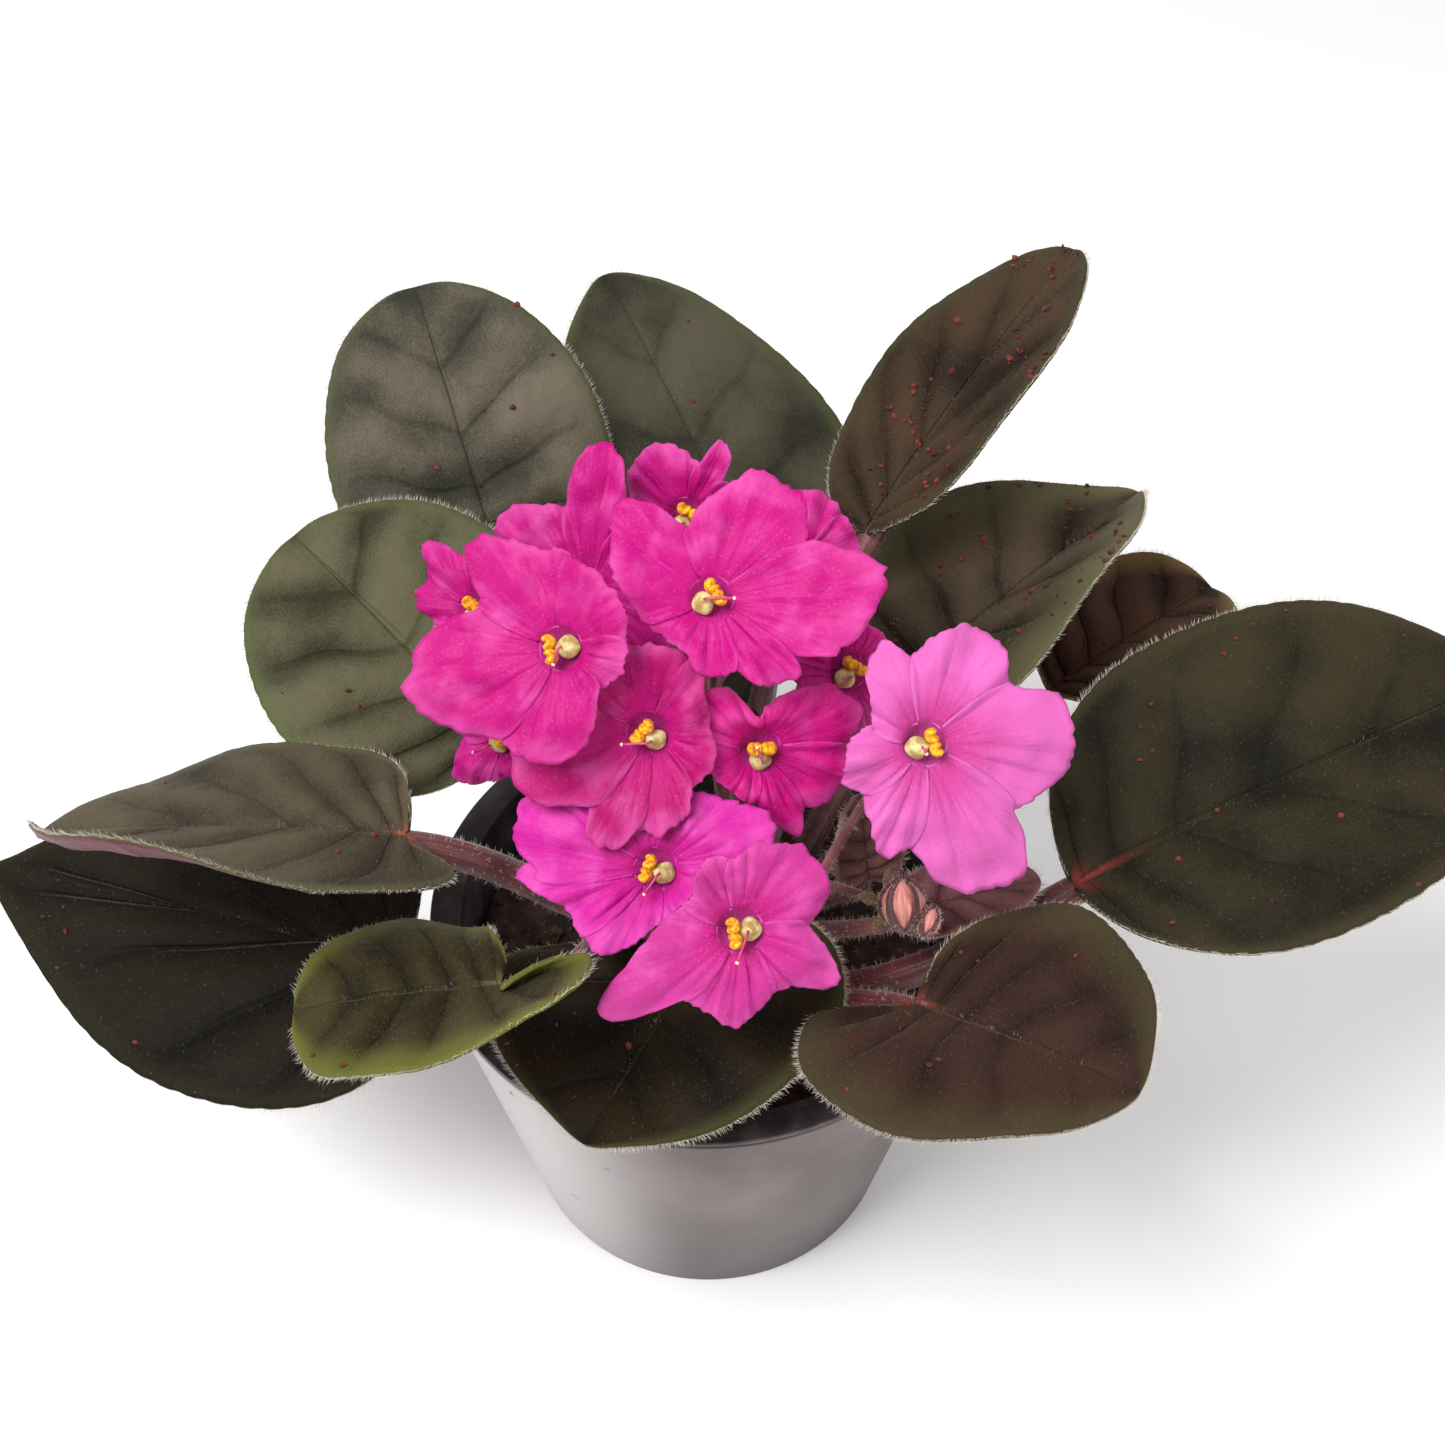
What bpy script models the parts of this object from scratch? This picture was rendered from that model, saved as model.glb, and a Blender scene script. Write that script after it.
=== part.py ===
"""Potted african violet in bloom: dark velvety leaves on red stalks, pink flowers and two nested pots.

Metres, +Z up. The origin is the centre of the outer pot's base, which stands on Z = 0.
The plant is looked at from -Y. Tables below are in millimetres and degrees.
"""

import math
import random
from typing import NamedTuple

import bmesh
import bpy
from mathutils import Matrix, Vector

MM = 0.001
GAP = 0.3
WELD = 0.0001

# Outer pot, a plain tapered one
RIM_RADIUS = 45.0
BASE_RADIUS = 32.5
OUTER_HEIGHT = 65.0
OUTER_WALL = 1.1
OUTER_FLOOR = 1.6
OUTER_STEPS = 36

# Nursery pot inside it, hung by a flat lip on the outer pot's rim
LIP_WIDTH = 5.0
LIP_THICKNESS = 1.0
NURSERY_WALL = 0.9
NURSERY_BASE_RADIUS = 28.0
DRAIN_HOLES = 4
DRAIN_RADIUS = 3.0
DRAIN_RING = 16.0

# Soil, and the crown that the stalks spring from
SOIL_TOP = 58.0
SOIL_BUMP = 0.7
SOIL_RINGS = 3
CROWN_PLACE = (4.0, -8.0)
CROWN_RADIUS = 7.0
CROWN_FOOT = 50.0
CROWN_TOP = 77.0
TIER_HEIGHTS = (61.5, 66.5, 71.5, 78.8)
TIER_RADII = (7.0, 6.3, 5.8, 2.1)

# Leaf blades
BLADE_THICKNESS = 0.9
BLADE_ROWS = 10
BLADE_COLUMNS = 6
YOUNG_ROWS = 8
YOUNG_COLUMNS = 4
SIDE_VEINS = 6
QUILT_HEIGHT = 0.7
VEIN_SWEEP = 2.1
TIP_POINT = 0.03
NOTCH_SPAN = 0.055
CUP_SPAN = 0.12
MARGIN_WAVES = 2.5
RIB_SHARE = 0.4
STALK_POINTS = 6

# Flowers
PETAL_THICKNESS = 0.7
PETAL_SECTORS = 6
THROAT_RADIUS = 3.4
THROAT_DEPTH = 2.2
RUFFLE = 0.8
CALYX_RADIUS = 2.2
CALYX_DEPTH = 2.4
PEDICEL_RADIUS = 0.8
PEDUNCLE_RADIUS = 1.4
ANTHER_RADIUS = 1.3
OVARY_RADIUS = 1.5

SEED = 11


class Leaf(NamedTuple):
    """One leaf. Pairs give the left half of the blade first, looking from joint to tip."""

    name: str
    joint: tuple  # where the stalk meets the blade
    tip: tuple
    width: float  # across the blade laid flat
    roll: float  # turn about the midrib that lifts the left half
    twist: float  # further turn of that kind, gained from joint to tip
    fold: tuple  # each half's rise at the midrib
    curl: tuple  # each half's further rise out to its margin
    droop: float  # turn of the midrib downwards, joint to tip
    lobe: tuple  # basal lobes' reach behind the joint, as parts of the length
    shape: tuple  # base and tip, each fuller below 1, and how much wider the base is than the tip
    cup: tuple  # rise of each basal lobe
    wave: float  # height of the waves in the margin
    stalk: float  # stalk thickness
    foot: tuple  # direction and rise of the stalk where it leaves the crown
    tier: int  # ring of stalks on the crown, 0 the lowest and 3 on its top


LEAVES = (
    Leaf(
        "leaf_back_left", (-36, 55, 94), (-50, 86, 126), 48, 0, 0, (8, 8), (-12, -12), 16,
        (0.2, 0.2), (0.85, 0.72, 0.1), (1.0, 1.0), 0.9, 4.4, (122, 22), 1,
    ),
    Leaf(
        "leaf_back", (9, 66, 78), (-19, 107, 114), 58, 6, 0, (6, 6), (-10, -10), 14,
        (0.4, 0.36), (0.8, 1.0, 0.2), (4.6, 5.0), 0.9, 4.4, (92, 34), 0,
    ),
    Leaf(
        "leaf_back_right", (27, 53, 100), (64, 97, 126), 35, -14, 0, (10, 18), (-10, 4), 14,
        (0.04, 0.02), (1.2, 0.85, 0.1), (1.0, 1.0), 0.8, 4.2, (68, 22), 2,
    ),
    Leaf(
        "leaf_right_back", (33, 33, 82), (75, 65, 98), 54, 4, -20, (12, 34), (-10, 4), 14,
        (0.16, 0.1), (0.8, 1.1, 0.22), (1.0, 1.0), 1.4, 4.2, (54, 22), 0,
    ),
    Leaf(
        "leaf_right_small", (60, 41, 73), (90, 60, 80), 34, 2, 0, (12, 24), (-8, 1), 12,
        (0.0, 0.0), (1.2, 0.62, 0.0), (0.5, 0.5), 0.8, 3.4, (38, 22), 1,
    ),
    Leaf(
        "leaf_right", (56, -12, 86), (125, 18, 100), 58, 12, 0, (8, 20), (-8, -4), 14,
        (0.0, 0.0), (1.0, 0.9, 0.1), (1.0, 1.0), 1.0, 4.8, (-34, 22), 0,
    ),
    Leaf(
        "leaf_front_right", (30, -37, 91), (58, -56, 97), 50, -6, 0, (10, 12), (-12, -12), 16,
        (0.05, 0.36), (0.85, 0.88, 0.15), (1.0, 1.0), 0.9, 4.2, (-62, 22), 1,
    ),
    Leaf(
        "leaf_front", (1, -18, 81), (-17, -51, 76), 52, -4, 0, (24, -4), (-10, -7), 20,
        (0.2, -0.2), (0.85, 1.05, 0.15), (1.0, -1.0), 1.0, 3.8, (-95, 45), 3,
    ),
    Leaf(
        "leaf_front_left_young", (-28, -38, 97), (-58, -38, 90), 38, 16, -22, (6, 8), (10, -50), 14,
        (0.5, -0.08), (0.48, 0.7, 0.1), (6.5, 1.0), 0.7, 3.4, (186, 42), 2,
    ),
    Leaf(
        "leaf_left_upper", (-44, -12, 98), (-98, -12, 98), 45, 6, 20, (12, 4), (14, -14), 16,
        (0.18, 0.0), (0.75, 1.0, 0.12), (1.0, 1.0), 0.9, 4.6, (180, 22), 1,
    ),
    Leaf(
        "leaf_left_lower", (-47, -18, 75), (-122, 6, 68), 53, -14, 0, (4, -4), (-10, -40), 16,
        (0.1, 0.0), (0.85, 2.3, 0.5), (1.0, 1.0), 1.0, 4.6, (196, 22), 0,
    ),
    Leaf(
        "leaf_left_back", (-34, 17, 88), (-68, 46, 105), 50, -12, 0, (6, 8), (-10, -10), 14,
        (0.06, 0.16), (0.85, 0.75, 0.1), (1.0, 1.0), 0.9, 4.2, (152, 22), 2,
    ),
    Leaf(
        "leaf_young_low", (30, -16, 84), (51, -11, 86), 14, 0, 0, (14, 14), (-8, -8), 12,
        (0.1, 0.1), (0.9, 0.9, 0.1), (0.3, 0.3), 0.5, 2.6, (-14, 22), 2,
    ),
    Leaf(
        "leaf_young_upright", (25, -8, 83), (23, -4, 98), 13, 0, 0, (14, 14), (8, 8), 6,
        (0.1, 0.1), (0.9, 0.9, 0.1), (0.3, 0.3), 0.5, 2.6, (16, 22), 2,
    ),
)
YOUNG_LEAVES = ("leaf_young_low", "leaf_young_upright")


class Bloom(NamedTuple):
    """One flower, whose petals run counter-clockwise as seen from the front.

    Each petal is (the directions where it starts and ends, its reach at five even steps between them, the
    lift of its tip). The heart is the direction of the anthers from the ovary.
    """

    name: str
    place: tuple  # centre of the throat
    heading: float  # direction that the flower faces, from +X
    rise: float  # and how far it looks up
    petals: tuple
    heart: float


BLOOMS = (
    Bloom(
        "bloom_01", (1, 3, 132), -97, 52,
        (
            (25, 109, (14.5, 19, 18.5, 14.5, 10.5), 2),
            (109, 200, (10.5, 18.5, 15.5, 12, 10), 3),
            (200, 289, (10, 8.5, 8.5, 11, 11), 1),
            (289, 319, (11, 14, 15, 15.5, 17), 0),
            (319, 385, (12.5, 19.5, 22.5, 24, 17.5), 2),
        ),
        35,
    ),
    Bloom(
        "bloom_02", (-20, -3, 128), -112, 44,
        (
            (6, 84, (10, 11.5, 11.5, 12.5, 13), 3),
            (84, 152, (13.5, 14, 17.5, 19.5, 13.5), 1),
            (152, 234, (13, 19.5, 23.5, 20.5, 15.5), 0),
            (234, 316, (15.5, 17, 15, 11.5, 8), 0),
            (316, 366, (8, 9, 10, 10, 10), 1),
        ),
        190,
    ),
    Bloom(
        "bloom_03", (-8, -7, 115), -95, 30,
        (
            (60, 145, (13, 14, 13.5, 11.5, 10), 2),
            (145, 232, (10, 17, 20.5, 19, 13), 3),
            (232, 264, (13.5, 16.5, 17.5, 16.5, 13.5), 5),
            (264, 310, (13.5, 14, 13.5, 12.5, 10), 5),
            (310, 420, (10, 10.5, 9, 10, 13), 1),
        ),
        140,
    ),
    Bloom(
        "bloom_04", (8, -6, 110), -80, 28,
        (
            (0, 82, (13.5, 16, 14, 11, 7), 1),
            (82, 155, (5.5, 6, 11.5, 13, 11), 1),
            (155, 262, (11, 8.5, 7.5, 7, 8), 2),
            (262, 303, (8, 9, 12, 15.5, 12.5), 0),
            (303, 360, (12, 13, 13.5, 13.5, 13.5), 0),
        ),
        90,
    ),
    Bloom(
        "bloom_05", (-7, -20, 100), -100, 44,
        (
            (5, 75, (15, 18.5, 15, 13, 12), -2),
            (75, 140, (12, 9.5, 9, 12, 17.5), -4),
            (140, 183, (17.5, 21.5, 22, 21, 18), 0),
            (183, 222, (21, 17, 14.5, 14, 14), 2),
            (222, 275, (14, 14.5, 12, 9.5, 7.5), 5),
            (275, 365, (7.5, 6.5, 6.5, 7, 8), 3),
        ),
        160,
    ),
    Bloom(
        "bloom_06", (5, -37, 108), -85, 46,
        (
            (5, 99, (9.5, 14, 14, 12.5, 10), 1),
            (99, 155, (10, 11, 10, 8.5, 8.5), 3),
            (155, 231, (8.5, 10.5, 14.5, 22, 12), 0),
            (231, 299, (12, 12, 13, 11.5, 9.5), 0),
            (299, 365, (9.5, 11, 15.5, 11.5, 9.5), 0),
        ),
        190,
    ),
    Bloom(
        "bloom_07", (31, -12, 118), -82, 44,
        (
            (34, 97, (15, 17, 18, 16.5, 12.5), 0),
            (97, 165, (12.5, 15.5, 12.5, 9, 7.5), 0),
            (165, 221, (8.5, 10.5, 11.5, 12.5, 11), 0),
            (221, 263, (11, 13.5, 15.5, 16.5, 15), 0),
            (263, 325, (15, 20.5, 22.5, 23, 16), 0),
            (325, 394, (16, 20, 21.5, 21, 15), 0),
        ),
        20,
    ),
    Bloom(
        "bloom_08", (-18, 23, 114), -100, 40,
        (
            (62, 104, (12, 20.5, 23.5, 20.5, 13.5), 2),
            (104, 165, (13.5, 15.5, 17.5, 16.5, 14), 1),
            (165, 235, (14, 12, 11, 10, 9), 0),
            (235, 310, (9, 10.5, 13, 15, 14.5), 0),
            (310, 422, (14.5, 15.5, 14.5, 13.5, 12), 0),
        ),
        60,
    ),
    Bloom(
        "bloom_09", (-3, 36, 118), -90, 40,
        (
            (45, 76, (8, 11.5, 13, 12.5, 8.5), 3),
            (76, 160, (8.5, 11, 12.5, 11.5, 9.5), 1),
            (160, 245, (9.5, 9.5, 10, 9.5, 9), 0),
            (245, 325, (9, 9.5, 9.5, 9.5, 9), 0),
            (325, 405, (9, 10, 11, 10.5, 8), 0),
        ),
        60,
    ),
    Bloom(
        "bloom_10", (15, 28, 116), -80, 44,
        (
            (0, 50, (8.5, 9, 9.5, 9.5, 9.5), 0),
            (50, 98, (9.5, 10.5, 11, 11, 10.5), 0),
            (98, 165, (10.5, 14, 14.5, 12, 10), 0),
            (165, 260, (10, 10, 10, 9.5, 9), 0),
            (260, 360, (9, 9, 9, 9, 8.5), 0),
        ),
        60,
    ),
    Bloom(
        "bloom_11", (-35, 21, 112), -120, 40,
        (
            (95, 142, (8.5, 9.5, 11.5, 14, 11), 1),
            (142, 190, (11, 11, 11.5, 10.5, 8), 0),
            (190, 260, (8, 8.5, 9, 9, 8.5), 0),
            (260, 350, (8.5, 8.5, 8.5, 8, 8), 0),
            (350, 455, (8, 8.5, 9, 9, 8.5), 0),
        ),
        60,
    ),
    Bloom(
        "bloom_12", (-31, 6, 100), -130, 20,
        (
            (195, 245, (9.5, 11.5, 14.5, 13, 9.5), 0),
            (245, 310, (9.5, 7.5, 6.5, 6.5, 6), 0),
            (310, 390, (6, 7, 7, 7, 7), 0),
            (30, 110, (7, 8, 8, 8, 8), 0),
            (110, 195, (8, 9, 9, 9, 9.5), 0),
        ),
        60,
    ),
    Bloom(
        "bloom_13", (22, 17, 103), -60, 40,
        (
            (25, 95, (8, 8.5, 8.5, 8.5, 8.5), 0),
            (95, 165, (8.5, 9, 9, 9, 9), 0),
            (165, 235, (9, 9, 9, 9, 9), 0),
            (235, 300, (9, 10, 10.5, 10, 9.5), 0),
            (300, 385, (9.5, 10.5, 10.5, 9.5, 8), 0),
        ),
        60,
    ),
)


class Truss(NamedTuple):
    """One flower stalk that forks into a pedicel for each of its flowers."""

    name: str
    foot: float  # direction of its foot on the crown's top
    fork: tuple  # where it forks
    blooms: tuple


TRUSSES = (
    Truss("flower_stalk_centre", 90, (1, 16, 98), ("bloom_01", "bloom_08", "bloom_09", "bloom_10")),
    Truss("flower_stalk_left", 150, (-14, 5, 98), ("bloom_02", "bloom_11", "bloom_12")),
    Truss("flower_stalk_front", -160, (-4, -10, 87), ("bloom_03", "bloom_05", "bloom_06")),
    Truss("flower_stalk_middle", 30, (10, 3, 92), ("bloom_04", "bloom_13")),
    Truss("flower_stalk_right", -20, (17, -15, 90), ("bloom_07", "bud")),
)
TRUSS_RING = 3.9

# Bud, still closed, among the stalks at the right
BUD_PLACE = (29, -21, 93)
BUD_HEADING = -70
BUD_RISE = 50
BUD_RADIUS = 3.2
BUD_LENGTH = 8.0

WHITE_PLASTIC = ((0.42, 0.39, 0.39, 1), 0.45)
BLACK_PLASTIC = ((0.03, 0.03, 0.035, 1), 0.5)
SOIL_BROWN = ((0.02, 0.014, 0.01, 1), 0.95)
STALK_RED = ((0.13, 0.025, 0.03, 1), 0.55)
LEAF_GREEN = ((0.045, 0.05, 0.033, 1), 0.6)
YOUNG_GREEN = ((0.08, 0.09, 0.04, 1), 0.6)
YOUNG_RED = ((0.12, 0.04, 0.05, 1), 0.6)
PETAL_PINK = ((0.75, 0.03, 0.4, 1), 0.6)
PETAL_PALE = ((0.85, 0.13, 0.55, 1), 0.6)
POLLEN_YELLOW = ((0.9, 0.5, 0.01, 1), 0.6)
BUD_PINK = ((0.6, 0.2, 0.17, 1), 0.6)

PARTS = "african violet"
HELPERS = "joined pieces and cutters"


def clear_scene():
    for item in list(bpy.data.objects):
        bpy.data.objects.remove(item, do_unlink=True)


def make_collection(name):
    found = bpy.data.collections.new(name)
    bpy.context.scene.collection.children.link(found)
    return found


def material(name, look):
    colour, roughness = look
    made = bpy.data.materials.new(name)
    made.use_nodes = True
    shader = made.node_tree.nodes["Principled BSDF"]
    shader.inputs["Base Color"].default_value = colour
    shader.inputs["Roughness"].default_value = roughness
    shader.inputs["Metallic"].default_value = 0.0
    made.diffuse_color = colour
    return made


def add_part(name, mesh, look):
    """A piece of the plant, with a material of its own."""
    item = bpy.data.objects.new(name, mesh)
    bpy.data.collections[PARTS].objects.link(item)
    mesh.materials.clear()
    mesh.materials.append(material(name, look))
    return item


def add_helper(name, mesh):
    """A shape that is joined to a piece or cut from it, and isn't a piece itself."""
    item = bpy.data.objects.new(name, mesh)
    bpy.data.collections[HELPERS].objects.link(item)
    item.hide_render = True
    item.display_type = "WIRE"
    return item


def boolean(item, other, operation):
    change = item.modifiers.new(operation.lower(), "BOOLEAN")
    change.operation = operation
    change.object = other


def solidify(item, thickness):
    wall = item.modifiers.new("thickness", "SOLIDIFY")
    wall.thickness = thickness * MM
    wall.offset = 0.0


def evaluated_mesh(item):
    graph = bpy.context.evaluated_depsgraph_get()
    mesh = bpy.data.meshes.new_from_object(item.evaluated_get(graph))
    return mesh


def weld(mesh):
    work = bmesh.new()
    work.from_mesh(mesh)
    bmesh.ops.remove_doubles(work, verts=work.verts, dist=WELD / 10)
    work.to_mesh(mesh)
    work.free()


def sheet(name, rows, columns, place):
    """A grid sheet. Its point at s (0 to 1) and t (-1 to 1) moves to place(s, t)."""
    work = bmesh.new()
    bmesh.ops.create_grid(work, x_segments=rows, y_segments=columns, size=1)
    for vert in work.verts:
        vert.co = place((vert.co.x + 1) / 2, vert.co.y)
    bmesh.ops.remove_doubles(work, verts=work.verts, dist=WELD / 10)
    bmesh.ops.triangulate(work, faces=work.faces)
    mesh = bpy.data.meshes.new(name)
    work.to_mesh(mesh)
    work.free()
    mesh.shade_smooth()
    return mesh


def tube_mesh(name, points, radii, sides_step=1):
    """A round stalk through the points, closed at both ends, with a radius at each point."""
    curve = bpy.data.curves.new(name, "CURVE")
    curve.dimensions = "3D"
    curve.bevel_depth = 1.0
    curve.bevel_resolution = sides_step
    curve.use_fill_caps = True
    spline = curve.splines.new("POLY")
    spline.points.add(len(points) - 1)
    for knot, point, radius in zip(spline.points, points, radii):
        knot.co = (*point, 1)
        knot.radius = radius
    item = bpy.data.objects.new(name, curve)
    bpy.data.collections[HELPERS].objects.link(item)
    bpy.context.view_layer.update()
    mesh = evaluated_mesh(item)
    bpy.data.objects.remove(item)
    bpy.data.curves.remove(curve)
    weld(mesh)
    mesh.shade_smooth()
    return mesh


def bezier(start, leave, arrive, end, count):
    """Points along a cubic curve, both ends included."""
    points = []
    for index in range(count):
        u = index / (count - 1)
        v = 1 - u
        points.append(v**3 * start + 3 * v * v * u * leave + 3 * v * u * u * arrive + u**3 * end)
    return points


def direction(heading, rise):
    level = math.cos(math.radians(rise))
    return Vector(
        (
            level * math.cos(math.radians(heading)),
            level * math.sin(math.radians(heading)),
            math.sin(math.radians(rise)),
        )
    )


def turned(name, profile, steps, look, place=(0, 0)):
    """A profile of (radius, height) in millimetres, turned about the vertical."""
    mesh = bpy.data.meshes.new(name)
    points = [(radius * MM, 0, height * MM) for radius, height in profile]
    edges = [(index, index + 1) for index in range(len(points) - 1)]
    mesh.from_pydata(points, edges, [])
    item = add_part(name, mesh, look)
    item.location = (place[0] * MM, place[1] * MM, 0)
    screw = item.modifiers.new("turn", "SCREW")
    screw.steps = steps
    screw.render_steps = steps
    screw.use_merge_vertices = True
    screw.merge_threshold = WELD
    screw.use_smooth_shade = True
    return item


def cylinder_mesh(name, radius, low, high, place, segments=16):
    work = bmesh.new()
    middle = Matrix.Translation((place[0] * MM, place[1] * MM, (low + high) / 2 * MM))
    bmesh.ops.create_cone(
        work,
        cap_ends=True,
        segments=segments,
        radius1=radius * MM,
        radius2=radius * MM,
        depth=(high - low) * MM,
        matrix=middle,
    )
    mesh = bpy.data.meshes.new(name)
    work.to_mesh(mesh)
    work.free()
    return mesh


def make_outer_pot():
    inner_rim = RIM_RADIUS - OUTER_WALL
    inner_base = BASE_RADIUS - OUTER_WALL
    turned(
        "outer_pot",
        (
            (0, OUTER_FLOOR),
            (inner_base - 1.2, OUTER_FLOOR),
            (inner_base, OUTER_FLOOR + 1.4),
            (inner_rim, OUTER_HEIGHT),
            (RIM_RADIUS, OUTER_HEIGHT),
            (BASE_RADIUS, 1.0),
            (BASE_RADIUS - 1.0, 0),
            (0, 0),
        ),
        OUTER_STEPS,
        WHITE_PLASTIC,
    )


def nursery_wall_radius(height):
    """Outer radius of the nursery pot's wall, which tapers from under the lip to its base."""
    low = OUTER_FLOOR + GAP
    top_radius = RIM_RADIUS - LIP_WIDTH + NURSERY_WALL
    return NURSERY_BASE_RADIUS + (top_radius - NURSERY_BASE_RADIUS) * (height - low) / (OUTER_HEIGHT - low)


def make_nursery_pot():
    low = OUTER_FLOOR + GAP
    floor = low + NURSERY_WALL
    lip_low = OUTER_HEIGHT + GAP
    lip_high = lip_low + LIP_THICKNESS
    inner_top = RIM_RADIUS - LIP_WIDTH
    pot = turned(
        "nursery_pot",
        (
            (0, floor),
            (nursery_wall_radius(floor) - NURSERY_WALL, floor),
            (inner_top, lip_high - 0.4),
            (inner_top + 0.5, lip_high),
            (RIM_RADIUS - 0.6, lip_high),
            (RIM_RADIUS, lip_high - 0.5),
            (RIM_RADIUS - 0.2, lip_low),
            (nursery_wall_radius(OUTER_HEIGHT), lip_low),
            (NURSERY_BASE_RADIUS, low),
            (0, low),
        ),
        OUTER_STEPS,
        BLACK_PLASTIC,
    )
    for index in range(DRAIN_HOLES):
        turn = 2 * math.pi * (index + 0.5) / DRAIN_HOLES
        place = (DRAIN_RING * math.cos(turn), DRAIN_RING * math.sin(turn))
        mesh = cylinder_mesh("drain_cutter", DRAIN_RADIUS, low - 1, floor + 1, place, 10)
        boolean(pot, add_helper("drain_cutter", mesh), "DIFFERENCE")


def make_soil():
    """A tapered plug of potting soil with an uneven top and a hole for the crown."""
    low = OUTER_FLOOR + NURSERY_WALL + 2 * GAP
    wall = NURSERY_WALL + GAP + 0.2
    rings = [(nursery_wall_radius(SOIL_TOP) - wall) * (ring / SOIL_RINGS) for ring in range(SOIL_RINGS + 1)]
    profile = [(radius, SOIL_TOP) for radius in rings]
    profile.append((nursery_wall_radius(low) - wall, low))
    profile.append((0, low))
    soil = turned("soil", profile, OUTER_STEPS, SOIL_BROWN)
    bpy.context.view_layer.update()
    mesh = evaluated_mesh(soil)
    rough = random.Random(SEED)
    for vert in mesh.vertices:
        inner = vert.co.xy.length < (rings[-1] - 1) * MM
        if inner and vert.co.z > (SOIL_TOP - 1) * MM:
            vert.co.z += rough.uniform(-SOIL_BUMP, SOIL_BUMP) * MM
    soil.modifiers.clear()
    soil.data = mesh
    hole = cylinder_mesh(
        "crown_hole", CROWN_RADIUS + 1.4 * GAP, CROWN_FOOT - GAP, SOIL_TOP + 5, CROWN_PLACE, 20
    )
    boolean(soil, add_helper("crown_hole", hole), "DIFFERENCE")


def make_crown():
    turned(
        "crown",
        (
            (0, CROWN_TOP),
            (5, CROWN_TOP - 0.2),
            (5.7, CROWN_TOP - 1.5),
            (CROWN_RADIUS - 1.2, TIER_HEIGHTS[2]),
            (CROWN_RADIUS, TIER_HEIGHTS[0]),
            (CROWN_RADIUS, CROWN_FOOT),
            (0, CROWN_FOOT),
        ),
        16,
        STALK_RED,
        CROWN_PLACE,
    )


def margin(lobe, shape, s):
    """Margin of a flat blade of length 1 and half width 1, from the notch at s = 0 to the tip at s = 1."""
    turn = math.pi * (1 - s)
    along = (1 - lobe) / 2 + (1 + lobe) / 2 * math.cos(turn)
    along += lobe * math.exp(-((s / NOTCH_SPAN) ** 2))
    along += TIP_POINT * math.exp(-(((1 - s) / 0.08) ** 2))
    tipward = (1 + math.cos(turn)) / 2
    base, tip, egg = shape
    power = tip * tipward + base * (1 - tipward)
    out = math.sin(turn) ** power * (1 - egg * math.cos(turn))
    return along / (1 + TIP_POINT), out


def blade_frame(leaf):
    joint = Vector(leaf.joint) * MM
    along = Vector(leaf.tip) * MM - joint
    chord = along.length
    along.normalize()
    left = Vector((0, 0, 1)).cross(along).normalized()
    roll = Matrix.Rotation(math.radians(leaf.roll), 3, along)
    left = roll @ left
    return joint, chord, along, left, along.cross(left)


def blade_point(leaf, s, t):
    """A point of the blade's middle surface: s runs along the margin and t across, 0 on the midrib."""
    joint, chord, along, left, up = blade_frame(leaf)
    bend = math.radians(leaf.droop)
    length = chord * (bend / 2) / math.sin(bend / 2)
    half_width = leaf.width / 2 * MM
    half = 0 if t > 0 else 1
    edge_along, edge_out = margin(leaf.lobe[half], leaf.shape, s)
    reach = abs(t)
    x = length * (s**VEIN_SWEEP * (1 - reach) + edge_along * reach)
    y = half_width * edge_out * reach
    turn = bend / 2 - bend * x / length
    spine = (math.sin(bend / 2) - math.sin(turn)) * length / bend
    sag = (math.cos(turn) - math.cos(bend / 2)) * length / bend
    fold = math.radians(leaf.fold[half])
    curl = math.radians(leaf.curl[half]) / half_width
    out = (math.sin(fold + curl * y) - math.sin(fold)) / curl
    rise = (math.cos(fold) - math.cos(fold + curl * y)) / curl
    ends = math.sin(math.pi * s)
    rise -= QUILT_HEIGHT * MM * math.cos(2 * math.pi * SIDE_VEINS * s) * 4 * reach * (1 - reach) * ends
    ripple = math.sin(2 * math.pi * MARGIN_WAVES * s + leaf.foot[0] + 2 * half)
    rise += leaf.wave * MM * reach**3 * ends * ripple
    near_base = s / CUP_SPAN * math.exp(1 - s / CUP_SPAN) * (1 - s)
    rise += leaf.cup[half] * MM * reach**2 * near_base
    normal = up * math.cos(turn) - along * math.sin(turn)
    forward = along * math.cos(turn) + up * math.sin(turn)
    gained = Matrix.Rotation(math.radians(leaf.twist) * x / length, 3, forward)
    outward = left if t > 0 else -left
    return joint + along * spine + up * sag + gained @ (outward * out + normal * rise)


def rib_share_to_row(share):
    """The row parameter of the midrib's point at a share of its length."""
    return share ** (1 / VEIN_SWEEP)


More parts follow.
